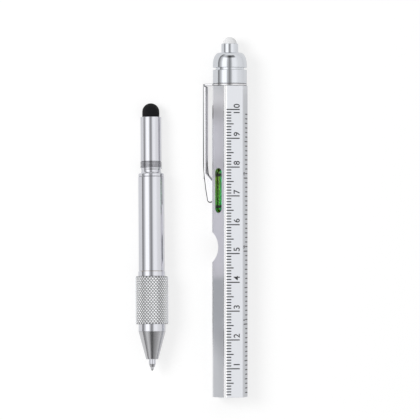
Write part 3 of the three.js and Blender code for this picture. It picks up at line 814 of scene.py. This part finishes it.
def copy_of(node: str) -> Mesh:
    """Copies a node's mesh and merges its loose triangles.

    Args:
        node: the node's name.

    Returns:
        The copy, on the table and in metres.
    """
    copied = bmesh.new()
    copied.from_mesh(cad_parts[node].data)
    bmesh.ops.remove_doubles(copied, verts=copied.verts, dist=NODE_WELD)
    bmesh.ops.dissolve_limit(copied, angle_limit=FLAT_ANGLE, verts=copied.verts,
                             edges=copied.edges, use_dissolve_boundaries=False)
    return copied


def joined(*drawn: Mesh) -> Mesh:
    """Puts meshes together.

    Args:
        drawn: the meshes, which are freed.

    Returns:
        The mesh of them all.
    """
    whole = bmesh.new()
    for part in drawn:
        mesh = bpy.data.meshes.new("part")
        part.to_mesh(mesh)
        part.free()
        whole.from_mesh(mesh)
        bpy.data.meshes.remove(mesh)
    return whole


def cut(name: str, base: Mesh, *tools: Mesh) -> Mesh:
    """Cuts tools out of a base.

    Args:
        name: the name of the scratch objects.
        base: what is cut.
        tools: what is taken away.

    Returns:
        What is left.
    """
    made = [scratch_object(f"{name}_{number}", mesh) for number, mesh in enumerate((base, *tools))]
    for tool in made[1:]:
        trim = made[0].modifiers.new(tool.name, "BOOLEAN")
        trim.operation, trim.object, trim.solver = "DIFFERENCE", tool, "EXACT"
    bpy.context.view_layer.update()
    seen = made[0].evaluated_get(bpy.context.evaluated_depsgraph_get())
    left = bmesh.new()
    left.from_mesh(seen.to_mesh())
    seen.to_mesh_clear()
    for mesh in [scratch.data for scratch in made]:
        bpy.data.meshes.remove(mesh)  # and with it its object
    return left


def in_scene(name: str, data: bpy.types.ID) -> bpy.types.Object:
    """Puts data in the scene.

    Args:
        name: the object's name.
        data: its data.

    Returns:
        The object.
    """
    made = bpy.data.objects.new(name, data)
    bpy.context.scene.collection.objects.link(made)
    return made


def scratch_object(name: str, drawn: Mesh) -> bpy.types.Object:
    """Puts a drawing in the scene.

    Args:
        name: the object's name.
        drawn: the drawing, which is freed.

    Returns:
        The object.
    """
    mesh = bpy.data.meshes.new(name)
    drawn.to_mesh(mesh)
    drawn.free()
    return in_scene(name, mesh)


def lettering(text: str, height: float, weight: float, spacing: float) -> Mesh:
    """Makes a number as a flat solid, with its foot at the origin.

    Args:
        text: the digits.
        height: their height.
        weight: how much bolder than the plain letters they are.
        spacing: how far apart they stand, as a share of the plain spacing.

    Returns:
        The mesh, reading along X, with its face up Z.
    """
    curve = bpy.data.curves.new(f"digits_{text}", "FONT")
    curve.body, curve.extrude, curve.offset, curve.space_character = text, 0.5, weight, spacing
    words = in_scene(curve.name, curve)
    bpy.context.view_layer.update()
    mesh = bpy.data.meshes.new_from_object(words)
    bpy.data.objects.remove(words)
    bpy.data.curves.remove(curve)
    made = bmesh.new()
    made.from_mesh(mesh)
    bpy.data.meshes.remove(mesh)
    (left, low), (right, high) = ([pick(vert.co[axis] for vert in made.verts) for axis in range(2)]
                                  for pick in (min, max))
    scale = height / (high - low)
    place = (Matrix.Diagonal((scale, scale, 1.0, 1.0))
             @ Matrix.Translation((-(left + right) / 2, -low, 0.0)))
    bmesh.ops.transform(made, matrix=place, verts=made.verts)
    return made


def set_down(
    name: str, drawn: Mesh, finish: Finish, nodes: Sequence[str] = (), place: Matrix = ON_CASE,
    body: Body = Body.CASE, angle: float = CORNER_ANGLE, even: bool = False,
) -> bpy.types.Object:
    """Turns a drawn mesh into a piece of the pen.

    Args:
        name: the piece's name.
        drawn: its mesh, which is freed.
        finish: its finish.
        nodes: the nodes that it stands for.
        place: the matrix from the drawing to the table.
        body: the body that it rides on.
        angle: the angle past which an edge stays sharp.
        even: whether its large faces keep their own shading beside narrow edges.

    Returns:
        The piece.
    """
    bmesh.ops.transform(drawn, matrix=place, verts=drawn.verts)
    for face in drawn.faces:
        face.smooth = True
    piece = scratch_object(name, drawn)
    piece.data.set_sharp_from_angle(angle=angle)
    piece.data.materials.append(finish.material())
    if even:
        shading = piece.modifiers.new("even_shading", "WEIGHTED_NORMAL")
        shading.keep_sharp, shading.weight = True, 100
    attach(piece, body.value)
    if nodes:
        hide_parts(*nodes)
    LOG.info("%s: %d faces, %s", name, len(piece.data.polygons), finish.name)
    return piece


def lathe(
    name: str, corners: Sequence[Corner], finish: Finish, nodes: Sequence[str] = (),
    place: Matrix = ON_CASE, body: Body = Body.CASE, **cutting: float,
) -> None:
    """Turns a profile, with a fillet or steps of its own, and sets it down as a piece."""
    set_down(name, turned(corners, **cutting), finish, nodes, place, body)


def dress(finish: Finish, *nodes: str) -> None:
    """Gives nodes a finish.

    Args:
        finish: the finish.
        nodes: the nodes' names.
    """
    for node in nodes:
        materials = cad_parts[node].data.materials
        materials.clear()
        materials.append(finish.material())
        LOG.info("%s: %s", node, finish.name)


# Case


@dataclass(frozen=True)
class Scale:
    """One of the ruler's scales, whose places run along a facet from the tube's mouth.

    Attributes:
        ticks_name: the name of its ticks.
        digits_name: the name of its numbers.
        facet: the facet that it is on.
        pitch: the distance between ticks.
        width: a tick's width.
        count: how many there are.
        foot: where across the facet a tick starts.
        ends: where a tick ends, from the shortest to the longest.
        long: every so many ticks one is longer, from the least long to the longest.
        digit_foot: where the numbers' feet stand.
        numbers: how many numbers there are, one at each longest tick.
    """

    ticks_name: str
    digits_name: str
    facet: Facet
    pitch: float
    width: float
    count: int
    foot: float
    ends: tuple[float, ...]
    long: tuple[int, ...]
    digit_foot: float
    numbers: int


METRIC_SCALE = Scale("millimetre_ticks", "centimetre_digits", Facet.METRIC, 1.0, 0.38, 100, -2.72,
                     (-1.0, -0.15, 2.02), (5, 10), 2.05, 10)
INCH_SCALE = Scale("inch_ticks", "inch_digits", Facet.INCH, INCH / 16, 0.36, 62, 2.6,
                   (-0.2, -0.6, -1.1, -2.3), (4, 8, 16), -0.7, 3)


@dataclass
class HexCase:
    """The hexagonal tube with its ruler."""

    length: float = 108.35
    across_flats: float = 11.25
    corner: float = 0.38
    corner_segments: int = 6
    end_edge: float = 0.06
    bore: float = 4.75
    lead: float = 0.3
    notch_radius: float = 6.6
    notch_depth: float = 2.75
    notch_place: float = 52.2
    window_width: float = 3.2
    window_length: float = 15.6
    window_place: float = 71.9
    window_steps: int = 48
    overrun: float = 1.0
    ink_depth: float = 0.015
    digit_height: float = 2.2
    digit_rise: float = 1.45
    ten_rise: float = 0.35
    ten_spacing: float = 1.53
    digit_weight: float = 0.012
    sharp: float = math.radians(25)

    @property
    def facet(self) -> float:
        """How far a facet lies from the axis."""
        return self.across_flats / 2

    def build(self) -> None:
        """Builds the tube and prints the ruler on it."""
        self.tube()
        for scale in (METRIC_SCALE, INCH_SCALE):
            self.ticks(scale)
            self.digits(scale)

    def tube(self) -> None:
        """Cuts the tube from a hexagonal bar with rounded corners."""
        bar = bmesh.new()
        bmesh.ops.create_circle(bar, cap_ends=True, segments=6,
                                radius=self.facet / math.cos(math.radians(30)),
                                matrix=about("X", 90) @ about("Z", 30))
        raise_face(bar, (0.0, self.length, 0.0))
        longs = [edge for edge in bar.edges if run_of(edge.verts) > NEAR]
        bevelled(bar, longs, self.corner, self.corner_segments)
        ends = [edge for edge in bar.edges if run_of(edge.verts) < NEAR
                and max(run_of(face.verts) for face in edge.link_faces) > NEAR]
        bevelled(bar, ends, self.end_edge)
        bmesh.ops.recalc_face_normals(bar, faces=bar.faces)
        over = self.overrun
        bore = turned([
            (0.0, -over), (self.bore + self.lead + over, -over, 0.0), (self.bore, self.lead, 0.0),
            (self.bore, self.length + over, 0.0), (0.0, self.length + over)])
        set_down("ruler_case", cut("tube", bar, bore, self.notch(), self.window()), ALUMINIUM,
                 ["hex_tube"], angle=self.sharp, even=True)

    def notch(self) -> Mesh:
        """Draws the notch's cutter.

        Returns:
            A round bar across the clip's facet.
        """
        cutter = bmesh.new()
        lift = self.facet + self.notch_radius - self.notch_depth
        place = Matrix.Translation((0.0, self.notch_place, lift)) @ about("Y", 90)
        bmesh.ops.create_cone(cutter, cap_ends=True, segments=LATHE_STEPS,
                              matrix=about("Y", Facet.CLIP.value) @ place,
                              radius1=self.notch_radius, radius2=self.notch_radius,
                              depth=2 * self.across_flats)
        return cutter

    def window(self) -> Mesh:
        """Draws the level's window.

        Returns:
            The cutter of a slot with round ends, on the level's facet.
        """
        cutter = bmesh.new()
        half = self.window_width / 2
        bmesh.ops.create_circle(cutter, cap_ends=True, segments=self.window_steps, radius=half)
        for vert in cutter.verts:
            vert.co.y += math.copysign(self.window_length / 2 - half, vert.co.y + 1e-6)
        raise_face(cutter, (0.0, 0.0, self.facet))
        bmesh.ops.recalc_face_normals(cutter, faces=cutter.faces)
        place = Matrix.Translation((0.0, self.window_place, self.bore / 2))
        bmesh.ops.transform(cutter, matrix=about("Y", Facet.LEVEL.value) @ place,
                            verts=cutter.verts)
        return cutter

    def ticks(self, scale: Scale) -> None:
        """Prints a scale's ticks.

        Args:
            scale: the scale.
        """
        drawn = bmesh.new()
        for number in range(1, scale.count + 1):
            end = scale.ends[sum(number % every == 0 for every in scale.long)]
            middle = ((scale.foot + end) / 2, number * scale.pitch, self.facet)
            size = (abs(end - scale.foot), scale.width, 2 * self.ink_depth, 1.0)
            bmesh.ops.create_cube(drawn, size=1.0,
                                  matrix=Matrix.Translation(middle) @ Matrix.Diagonal(size))
        set_down(scale.ticks_name, drawn, INK, place=CASE_AXIS.place(scale.facet))

    def digits(self, scale: Scale) -> None:
        """Prints a scale's numbers, with their tops to the left.

        Args:
            scale: the scale.
        """
        letters = []
        for number in range(1, scale.numbers + 1):
            text = str(number)
            rise, spacing = ((self.digit_rise, 1.0) if len(text) == 1
                             else (self.ten_rise, self.ten_spacing))
            letter = lettering(text, self.digit_height, self.digit_weight, spacing)
            along = number * scale.pitch * scale.long[-1] + rise
            place = (Matrix.Translation((scale.digit_foot, along, self.facet)) @ about("Z", 90)
                     @ Matrix.Diagonal((1.0, 1.0, 2 * self.ink_depth, 1.0)))
            bmesh.ops.transform(letter, matrix=place, verts=letter.verts)
            letters.append(letter)
        set_down(scale.digits_name, joined(*letters), INK, place=CASE_AXIS.place(scale.facet))


@dataclass
class LevelVial:
    """The level: a clear capsule of green liquid with a bubble between two lines."""

    radius: float = 2.25
    wall: float = 0.4
    film: float = 0.005
    offset: float = 2.8404
    front: float = 66.4
    rear: float = 77.4
    line_places: Span = (66.3, 77.3)
    line_width: float = 0.85
    line_proud: float = 0.03
    line_fillet: float = 0.01
    bubble_radius: float = 0.75
    bubble_length: float = 5.6
    bubble_place: float = 71.9
    bubble_gap: float = 0.05
    bubble_steps: int = 48

    def build(self) -> None:
        """Builds the shell, the liquid, the lines and the bubble."""
        inner = self.radius - self.wall
        place = CASE_AXIS.place(Facet.LEVEL) @ Matrix.Translation((0.0, 0.0, self.offset))
        shell, hollow, liquid = (turned(capsule(radius, self.front, self.rear))
                                 for radius in (self.radius, inner, inner - self.film))
        bmesh.ops.reverse_faces(hollow, faces=hollow.faces)
        set_down("vial_shell", joined(shell, hollow), ACRYLIC, ["vial_tube", "vial_plug"], place)
        set_down("green_liquid", liquid, LIQUID, ["vial_liquid"], place)
        half = self.line_width / 2
        low, high = self.radius - self.line_proud, self.radius + self.line_proud
        for name, middle in zip(("lower_line", "upper_line"), self.line_places):
            lathe(name, [(low, middle - half), (high, middle - half),
                         (high, middle + half), (low, middle + half)],
                  LINE, (), place, fillet=self.line_fillet)
        half = self.bubble_length / 2 - self.bubble_radius
        lift = Matrix.Translation((0.0, 0.0, inner - self.bubble_gap - self.bubble_radius))
        lathe("air_bubble",
              capsule(self.bubble_radius, self.bubble_place - half, self.bubble_place + half),
              AIR, ["vial_bubble"], place @ lift, Body.BUBBLE, steps=self.bubble_steps)


@dataclass
class PocketClip:
    """The sheet clip: its ring under the collar, and its arm with a rounder tip."""

    ring_edge: float = 0.09
    arm_edge: float = 0.18
    tip_edge: float = 0.4
    tip_reach: float = 12.5
    inward: float = -0.6
    sharp: float = math.radians(35)
    rounded: Span = (0.25, 0.9)

    def build(self) -> None:
        """Builds both from their solids, with broken edges in a near-black painted shade."""
        self.softened_copy("clip_washer", "clip_ring", Body.CASE, self.ring_edge)
        self.softened_copy("clip_spring_arm", "clip_arm", Body.CLIP, self.arm_edge)

    def sharp_edges(self, drawn: Mesh) -> list[bmesh.types.BMEdge]:
        """Gives the sharp edges of a drawing."""
        return [side for side in drawn.edges
                if len(side.link_faces) == 2 and side.calc_face_angle() > self.sharp]

    def softened_copy(self, name: str, node: str, body: Body, edge: float) -> None:
        """Breaks the edges of a copied node, and paints shade on its broken edges, and on the arm
        on some slanted faces, with a near-black chrome.

        Args:
            name: the piece's name.
            node: the node's name.
            body: the body that it rides on.
            edge: how far its edges are broken.
        """
        drawn = copy_of(node)
        outward = CASE_AXIS.place(Facet.CLIP).to_3x3() @ Vector((0.0, 0.0, 1.0 / MM))
        tip = [side for side in self.sharp_edges(drawn)
               if max(end.co.y for end in side.verts) < self.tip_reach * MM
               and min(face.normal.dot(outward) for face in side.link_faces) > self.inward]
        broken = bevelled(drawn, tip, self.tip_edge * MM)
        # The tip's broken edges get the near-black painted shade.
        for face in broken:
            face.material_index = 1
        done = {side for face in broken for side in face.edges}
        rest = [side for side in self.sharp_edges(drawn) if side not in done]
        broken = bevelled(drawn, rest, edge * MM)
        # On the arm, outward broken edges and slanted faces get the painted shade; on the ring, all
        # broken edges do.
        if body is Body.CLIP:
            low, high = self.rounded
            broken = [face for face in broken if face.normal.dot(outward) > 0.0]
            broken += [face for face in drawn.faces if low < face.normal.dot(outward) < high]
        for face in set(broken):
            face.material_index = 1
        piece = set_down(name, drawn, CLIP_CHROME, [node], Matrix.Identity(4), body, even=True)
        # The second material is the near-black painted shade.
        piece.data.materials.append((RING_PAINTED_SHADE if body is Body.CASE else CLIP_PAINTED_SHADE).material())


@dataclass
class LightHead:
    """The collar, the head that turns on it, and the light, as profiles."""

    collar: Profile = (
        (4.1, 100.35), (4.7, 100.35), (4.7, 109.11, 0.02), (5.95, 109.11, 0.22),
        (5.95, 113.91, 0.22), (4.9, 113.91, 0.02), (4.9, 116.33), (4.44, 116.33, 0.02),
        (4.44, 116.89, 0.02), (4.9, 116.89), (4.9, 116.91), (4.1, 116.91))
    seal: Triple = (4.72, 116.61, 0.25)
    seal_steps: int = 12
    cap: Profile = (
        (5.0, 114.61), (5.95, 114.61, 0.22), *dome(5.95, 4.2, 115.71, 3.78), (3.0, 119.91),
        (3.0, 118.91), (3.9, 118.91), (5.0, 117.61))
    bezel: Profile = (
        (2.6, 118.38), (3.5, 118.38), (3.5, 118.88), (2.95, 118.88, 0.02), (2.95, 123.01, 0.14),
        (2.6, 123.01, 0.05))
    lens: Profile = (
        (0.0, 116.71), (2.9, 116.71), (2.9, 117.71), (2.5, 117.71, 0.05),
        *dome(2.5, 2.5, 122.81))
    cup: Profile = (
        (0.0, 118.71), (0.5, 118.71), (0.55, 120.71), (0.95, 121.31), (0.8, 121.31),
        (0.35, 120.91), (0.0, 120.91))
    cup_fillet: float = 0.03

    def build(self) -> None:
        """Turns the collar, the seal, the cap, the bezel, and the light with its cup."""
        lathe("collar_band", self.collar, CHROME, ["top_collar"])
        radius, place, section = self.seal
        angles = [FULL * step / self.seal_steps for step in range(self.seal_steps)]
        ring = [(radius + section * math.cos(angle), place + section * math.sin(angle), 0.0)
                for angle in angles]
        lathe("ring_seal", ring, SEAL, ["head_seal"])
        lathe("domed_cap", self.cap, CHROME, ["dome_cap"], body=Body.HEAD)
        lathe("light_bezel", self.bezel, CHROME, ["led_bezel"], body=Body.HEAD)
        lathe("light_lens", self.lens, LENS, ["led_bulb"], body=Body.LIGHT)
        lathe("light_cup", self.cup, STEEL, body=Body.LIGHT, fillet=self.cup_fillet,
              steps=COARSE_STEPS)


@dataclass
class InsideCase:
    """What is sealed in the case: the bush, the vial's carrier, the battery and the board."""

    def build(self) -> None:
        """Gives each its finish."""
        dress(STEEL, "thread_bush", "battery_spring")
        dress(CELL, "battery_cell_1", "battery_cell_2", "battery_cell_3")
        dress(CARRIER, "vial_carrier")
        dress(PLASTIC, "battery_sleeve", "led_holder")
        dress(BOARD, "led_board")
        dress(BRASS, "led_contact")


# Insert


@dataclass
class InkRefill:
    """The refill: its ball, its drawn point and its tube."""

    ball: float = 0.35
    point: Profile = (
        (0.0, 0.73), (0.38, 0.73, 0.0), (0.38, 0.35, 0.02), (0.475, 0.35, 0.03),
        (0.62, 1.15, 0.05), (0.8, 1.2, 0.05), (1.175, 2.2), (0.845, 2.23), (0.845, 4.6),
        (0.0, 4.6))
    point_fillet: float = 0.04
    tube: Profile = ((0.875, 2.26), (1.175, 2.26), (1.175, 67.0), (0.875, 67.0))
    tube_fillet: float = 0.05

    def build(self) -> None:
        """Builds the refill from its ball to its open end."""
        lathe("writing_ball", capsule(self.ball, self.ball, self.ball), CARBIDE, ["refill_ball"],
              ON_INSERT, Body.REFILL, steps=COARSE_STEPS)
        lathe("drawn_point", self.point, STEEL, ["refill_tip"], ON_INSERT, Body.REFILL,
              fillet=self.point_fillet, steps=FINE_STEPS)
        lathe("ink_tube", self.tube, INSERT_CHROME, ["refill_tube"], ON_INSERT, Body.REFILL,
              fillet=self.tube_fillet, steps=FINE_STEPS)


@dataclass
class TwistGrip:
    """The nose and the knurled grip that turn together."""

    nose: Profile = ((1.275, 3.9), (2.1, 3.9, 0.15), (4.7, 13.57, 0.06), (3.7, 13.57, 0.0),
                     (3.7, 21.0), (1.275, 21.0))
    bottom: float = 13.6
    top: float = 34.4
    collar: float = 4.7
    bore: float = 3.75
    core: float = 4.4
    peak: float = 5.75
    knurl_bottom: float = 16.1
    knurl_top: float = 32.7
    edge: float = 0.35
    columns: int = 32
    rows: int = 13
    depth: float = 0.32
    crest: float = 0.3
    steps: int = 8
    sharp: float = math.radians(60)

    def build(self) -> None:
        """Builds the nose and the grip."""
        lathe("nose_taper", self.nose, SATIN, ["nose_cone"], ON_INSERT, Body.GRIP)
        set_down("knurl_sleeve", self.knurled(), KNURL, ["knurled_grip"], ON_INSERT, Body.GRIP,
                 self.sharp)
        inner = self.collar - self.edge
        for name, low, high in (("lower_shoulder", self.bottom, self.knurl_bottom),
                                ("upper_shoulder", self.knurl_top, self.top)):
            band = ((inner, low), (self.collar, low), (self.collar, high, 0.0), (inner, high, 0.0))
            lathe(name, band, INSERT_CHROME, (), ON_INSERT, Body.GRIP)
        dress(BRASS, "cam_sleeve")

    def knurled(self) -> Mesh:
        """Turns the grip and presses crossed grooves into its wall.

        Returns:
            The grip's mesh.
        """
        low, high = self.knurl_bottom + self.edge, self.knurl_top - self.edge
        rows, shoulder = self.rows * self.steps, self.peak - self.edge
        wall = [(self.peak, low + (high - low) * row / rows) for row in range(rows + 1)]
        body = chain([
            (self.bore, self.bottom), (self.core, self.bottom), (self.core, self.knurl_bottom),
            (shoulder, self.knurl_bottom), *wall, (shoulder, self.knurl_top),
            (self.core, self.knurl_top), (self.core, self.top), (self.bore, self.top)], True)
        spun(body, [*body.verts, *body.edges], self.columns * self.steps)
        for vert in body.verts:
            radius = math.hypot(vert.co.x, vert.co.z)
            if radius > self.peak - NEAR:
                around = self.columns * math.atan2(vert.co.x, vert.co.z) / FULL
                along = self.rows * (vert.co.y - low) / (high - low)
                sunk = self.depth * max(self.groove(around + along), self.groove(around - along))
                vert.co.x *= (radius - sunk) / radius
                vert.co.z *= (radius - sunk) / radius
        return body

    def groove(self, phase: float) -> float:
        """Gives a V groove's depth, from 0 on the crest to 1 in the valley."""
        share = 1.0 - abs(2.0 * (phase % 1.0) - 1.0)
        return max(0.0, (share - self.crest) / (1.0 - self.crest))


@dataclass
class Barrel:
    """The polished barrel, and the mechanism inside it."""

    shell: Profile = ((3.825, 34.5), (4.525, 34.5, 0.15), (4.525, 67.3, 0.12), (3.825, 67.3))

    def build(self) -> None:
        """Turns the barrel and dresses the mechanism."""
        lathe("barrel_shell", self.shell, INSERT_CHROME, ["insert_barrel"], ON_INSERT)
        dress(PLASTIC, "guide_sleeve", "cam_follower")


@dataclass
class StylusEnd:
    """The coupling, its thread, the stylus tube and its tip."""

    coupling: Profile = (
        (2.05, 64.83), (3.775, 64.83), (3.775, 67.33, 0.02), (4.45, 67.33, 0.25),
        (4.45, 68.43, 0.25), (3.7, 68.48, 0.2), *bow((3.5, 68.78), (3.5, 69.88), 0.1),
        (3.55, 70.03), (3.55, 72.63, 0.02), (3.15, 72.63, 0.02), (3.15, 75.13), (2.05, 75.13))
    tube: Profile = ((3.2, 72.66), (3.65, 72.66), (3.65, 88.06, 0.14), (3.025, 88.06),
                     (3.025, 87.26), (3.2, 87.26))
    tip: Profile = ((0.0, 91.86), (1.975, 89.96, 0.3), (1.975, 85.63), (3.15, 85.63),
                    (3.15, 87.23), (2.975, 87.23, 0.0), *dome(2.975, 2.975, 89.885))
    thread_bottom: float = 70.03
    thread_top: float = 72.63
    root: float = 3.5
    crest: float = 3.8
    flat: float = 0.08
    foot: float = 0.45
    turns: float = 4.9
    room: float = 5.5
    steps: int = 48

    def build(self) -> None:
        """Builds the coupling, the thread, the tube and the tip."""
        lathe("coupling_body", self.coupling, INSERT_CHROME, ["thread_coupling"], ON_INSERT)
        set_down("coupling_thread", self.thread(), THREAD_SHADED, place=ON_INSERT)
        lathe("stylus_sleeve", self.tube, INSERT_CHROME, ["stylus_tube"], ON_INSERT)
        lathe("rubber_tip", self.tip, WOVEN, ["stylus_tip"], ON_INSERT)
        dress(STEEL, "stylus_plug")

    def thread(self) -> Mesh:
        """Winds the thread's ridge round the coupling.

        Returns:
            The ridge's mesh.
        """
        pitch = (self.thread_top - self.thread_bottom) / self.room
        half, flat = self.foot * pitch, self.flat
        start = self.thread_bottom + half
        ridge = chain([(self.root, start - half), (self.crest, start - flat),
                       (self.crest, start + flat), (self.root, start + half)], True)
        bmesh.ops.contextual_create(ridge, geom=ridge.edges[:])
        steps = round(self.steps * self.turns)
        return spun(ridge, ridge.faces[:], steps, self.turns, pitch * self.turns / steps)


# Studio


@dataclass
class Studio:
    """The white table, the soft light and the camera above it, which leans to the left."""

    lean: float = 10.0
    middle: Span = (7.371, 2.453)
    plane: float = 5.0
    frame_width: float = 146.14
    distance: float = 1500.0
    sensor: float = 36.0
    clip: Span = (0.1, 10.0)
    floor_size: float = 2.0
    floor_colour: float = 0.945
    floor_roughness: float = 0.9
    mottle: float = 0.03
    mottle_tone: float = 0.005
    sky_level: float = 0.56
    glow: float = 0.6
    glow_level: float = 1.14
    mirrored_glow: float = 0.6
    # Painted shade on the table that only reflections see: far to the left, and a painted shadow
    # beside the case below its collar.
    far_floor: Span = (-52.0, -72.0)
    far_level: float = 0.3
    beside_case: Span = (16.0, 20.0)
    below_collar: Span = (47.0, 41.0)
    beside_share: float = 0.24
    gloss: float = 1.2
    brightest: float = 1.25
    tent_above: Span = (0.84, 0.92)
    tent_below: Span = (0.72, 0.84)
    tent: float = 0.86
    shade_below: Span = (0.3, 0.45)
    shade_above: Span = (0.58, 0.68)
    shade_edge: Span = (45.0, 30.0)
    shade_middle: float = 4.0
    shade_spread: Span = (5.0, 110.0)
    shade_levels: Span = (0.2, 0.8)
    panels: tuple[Span, ...] = (
        (-180.0, 0.85), (-97.0, 0.26), (-90.0, 0.26), (-76.0, 0.58), (-66.0, 0.85), (-60.0, 1.25),
        (-36.0, 1.25), (-31.0, 1.05), (-27.0, 0.60), (-20.0, 0.52), (-15.0, 0.30), (-9.0, 0.30),
        (-4.0, 0.42), (2.0, 0.62), (8.0, 0.98), (30.0, 1.02), (48.0, 0.86), (90.0, 0.78),
        (180.0, 0.80))
    lamp_energy: float = 4.4
    lamp_size: float = 0.42
    lamp_angle: float = 40.0
    lamp_toward: float = 0.15
    lamp_distance: float = 1.0

    def build(self) -> None:
        """Builds the floor, the sky, the lamp and the camera."""
        self.floor()
        self.sky()
        self.lamp()
        self.camera()
        bpy.context.scene.view_settings.view_transform = "Standard"

    def floor(self) -> None:
        """Lays the white table, with painted shade and a painted shadow that only reflections show.
        """
        sheet = bmesh.new()
        bmesh.ops.create_grid(sheet, x_segments=1, y_segments=1, size=self.floor_size)
        table = scratch_object("table", sheet)
        made = bpy.data.materials.new("table_white")
        graph = Graph(made)
        at = graph.node("ShaderNodeTexCoord").outputs["Object"]
        tones = ((self.floor_colour + change,) * 3
                 for change in (-self.mottle_tone, self.mottle_tone))
        shader = graph.node("ShaderNodeBsdfPrincipled", inputs={
            "Base Color": graph.blend(graph.noise(at, (self.mottle,) * 3), *tones),
            "Roughness": self.floor_roughness, "Specular IOR Level": 0.0})
        across, along, _ = (part * (1.0 / MM) for part in graph.parts(at))
        # Painted shadow beside the case and painted shade far to the left, which darken the table
        # in reflections.
        beside = across.ramp(*self.beside_case) * along.ramp(*self.below_collar)
        far = across.ramp(*self.far_floor) + beside * self.beside_share
        camera, glossy, through = graph.rays()
        seen = camera.math("MAXIMUM", glossy * self.mirrored_glow).math("MAXIMUM", through)
        for share, level in ((seen * self.glow, self.glow_level), (glossy * far, self.far_level)):
            light = graph.node("ShaderNodeEmission", inputs={"Strength": level})
            shader = graph.node("ShaderNodeMixShader", inputs={
                0: share, 1: shader.outputs[0], 2: light.outputs[0]})
        graph.finish(shader)
        table.data.materials.append(made)

    def sky(self) -> None:
        """Makes the sky: white where it is seen, and a studio's panels in reflections."""
        world = bpy.data.worlds.new("studio")
        bpy.context.scene.world = world
        graph = Graph(world)
        across, along, up = graph.parts(graph.node("ShaderNodeTexCoord").outputs["Generated"])
        angle = across.math("ARCTAN2", up) * math.degrees(1.0)
        stops = [((place + 180.0) / 360.0, (level / self.brightest,) * 3)
                 for place, level in self.panels]
        panels = graph.node("ShaderNodeValToRGB", {"stops": stops},
                            {"Fac": (angle + 180.0) * (1.0 / 360.0)}).outputs[0]
        mirrored = graph.value("ShaderNodeRGBToBW", {}, {"Color": panels}) * self.brightest
        below = -1.0 * along
        darkest, palest = self.shade_levels
        off_middle = (angle - self.shade_middle).math("ABSOLUTE").ramp(*self.shade_spread)
        shading = 1.0 - (darkest + off_middle * (palest - darkest))
        upper = along.ramp(*self.shade_above) * angle.ramp(*self.shade_edge)
        for share in (below.ramp(*self.shade_below), upper):
            mirrored = mirrored * (1.0 - share * shading)
        beyond = along.ramp(*self.tent_above) + below.ramp(*self.tent_below)
        mirrored = (mirrored * (1.0 - beyond) + beyond * self.tent) * self.gloss
        camera, glossy, through = graph.rays()
        level = (1.0 - glossy) * self.sky_level + glossy * mirrored
        seen = camera.math("MAXIMUM", through)
        graph.finish(graph.node("ShaderNodeBackground", inputs={
            "Color": (1.0, 1.0, 1.0, 1.0), "Strength": (1.0 - seen) * level + seen}), "World")

    def lamp(self) -> None:
        """Hangs a soft lamp at the upper left."""
        light = bpy.data.lights.new("soft_lamp", "AREA")
        light.shape, light.size, light.energy = "DISK", self.lamp_size, self.lamp_energy
        lamp = in_scene("soft_lamp", light)
        side = math.radians(self.lamp_angle)
        away = Vector((-math.sin(side), self.lamp_toward, math.cos(side))).normalized()
        lamp.location = away * self.lamp_distance
        lamp.rotation_euler = away.to_track_quat("Z", "Y").to_euler()
        lamp.visible_glossy = False

    def camera(self) -> None:
        """Sets the camera above the table, leaning to the left, with a long lens."""
        turn = about("Y", -self.lean)
        middle = turn @ Vector((*self.middle, self.plane + self.distance))
        data = bpy.data.cameras.new("camera")
        data.sensor_width = self.sensor
        data.lens = self.sensor * self.distance / self.frame_width
        data.clip_start, data.clip_end = self.clip
        camera = in_scene("camera", data)
        camera.matrix_world = Matrix.Translation(middle * MM) @ turn
        bpy.context.scene.camera = camera


def main() -> None:
    """Builds the pen and its studio."""
    logging.basicConfig(level=logging.INFO, format="%(name)s %(message)s")
    for part in (HexCase(), LevelVial(), PocketClip(), LightHead(), InsideCase(), InkRefill(),
                 TwistGrip(), Barrel(), StylusEnd(), Studio()):
        part.build()


if __name__ == "__main__":
    main()
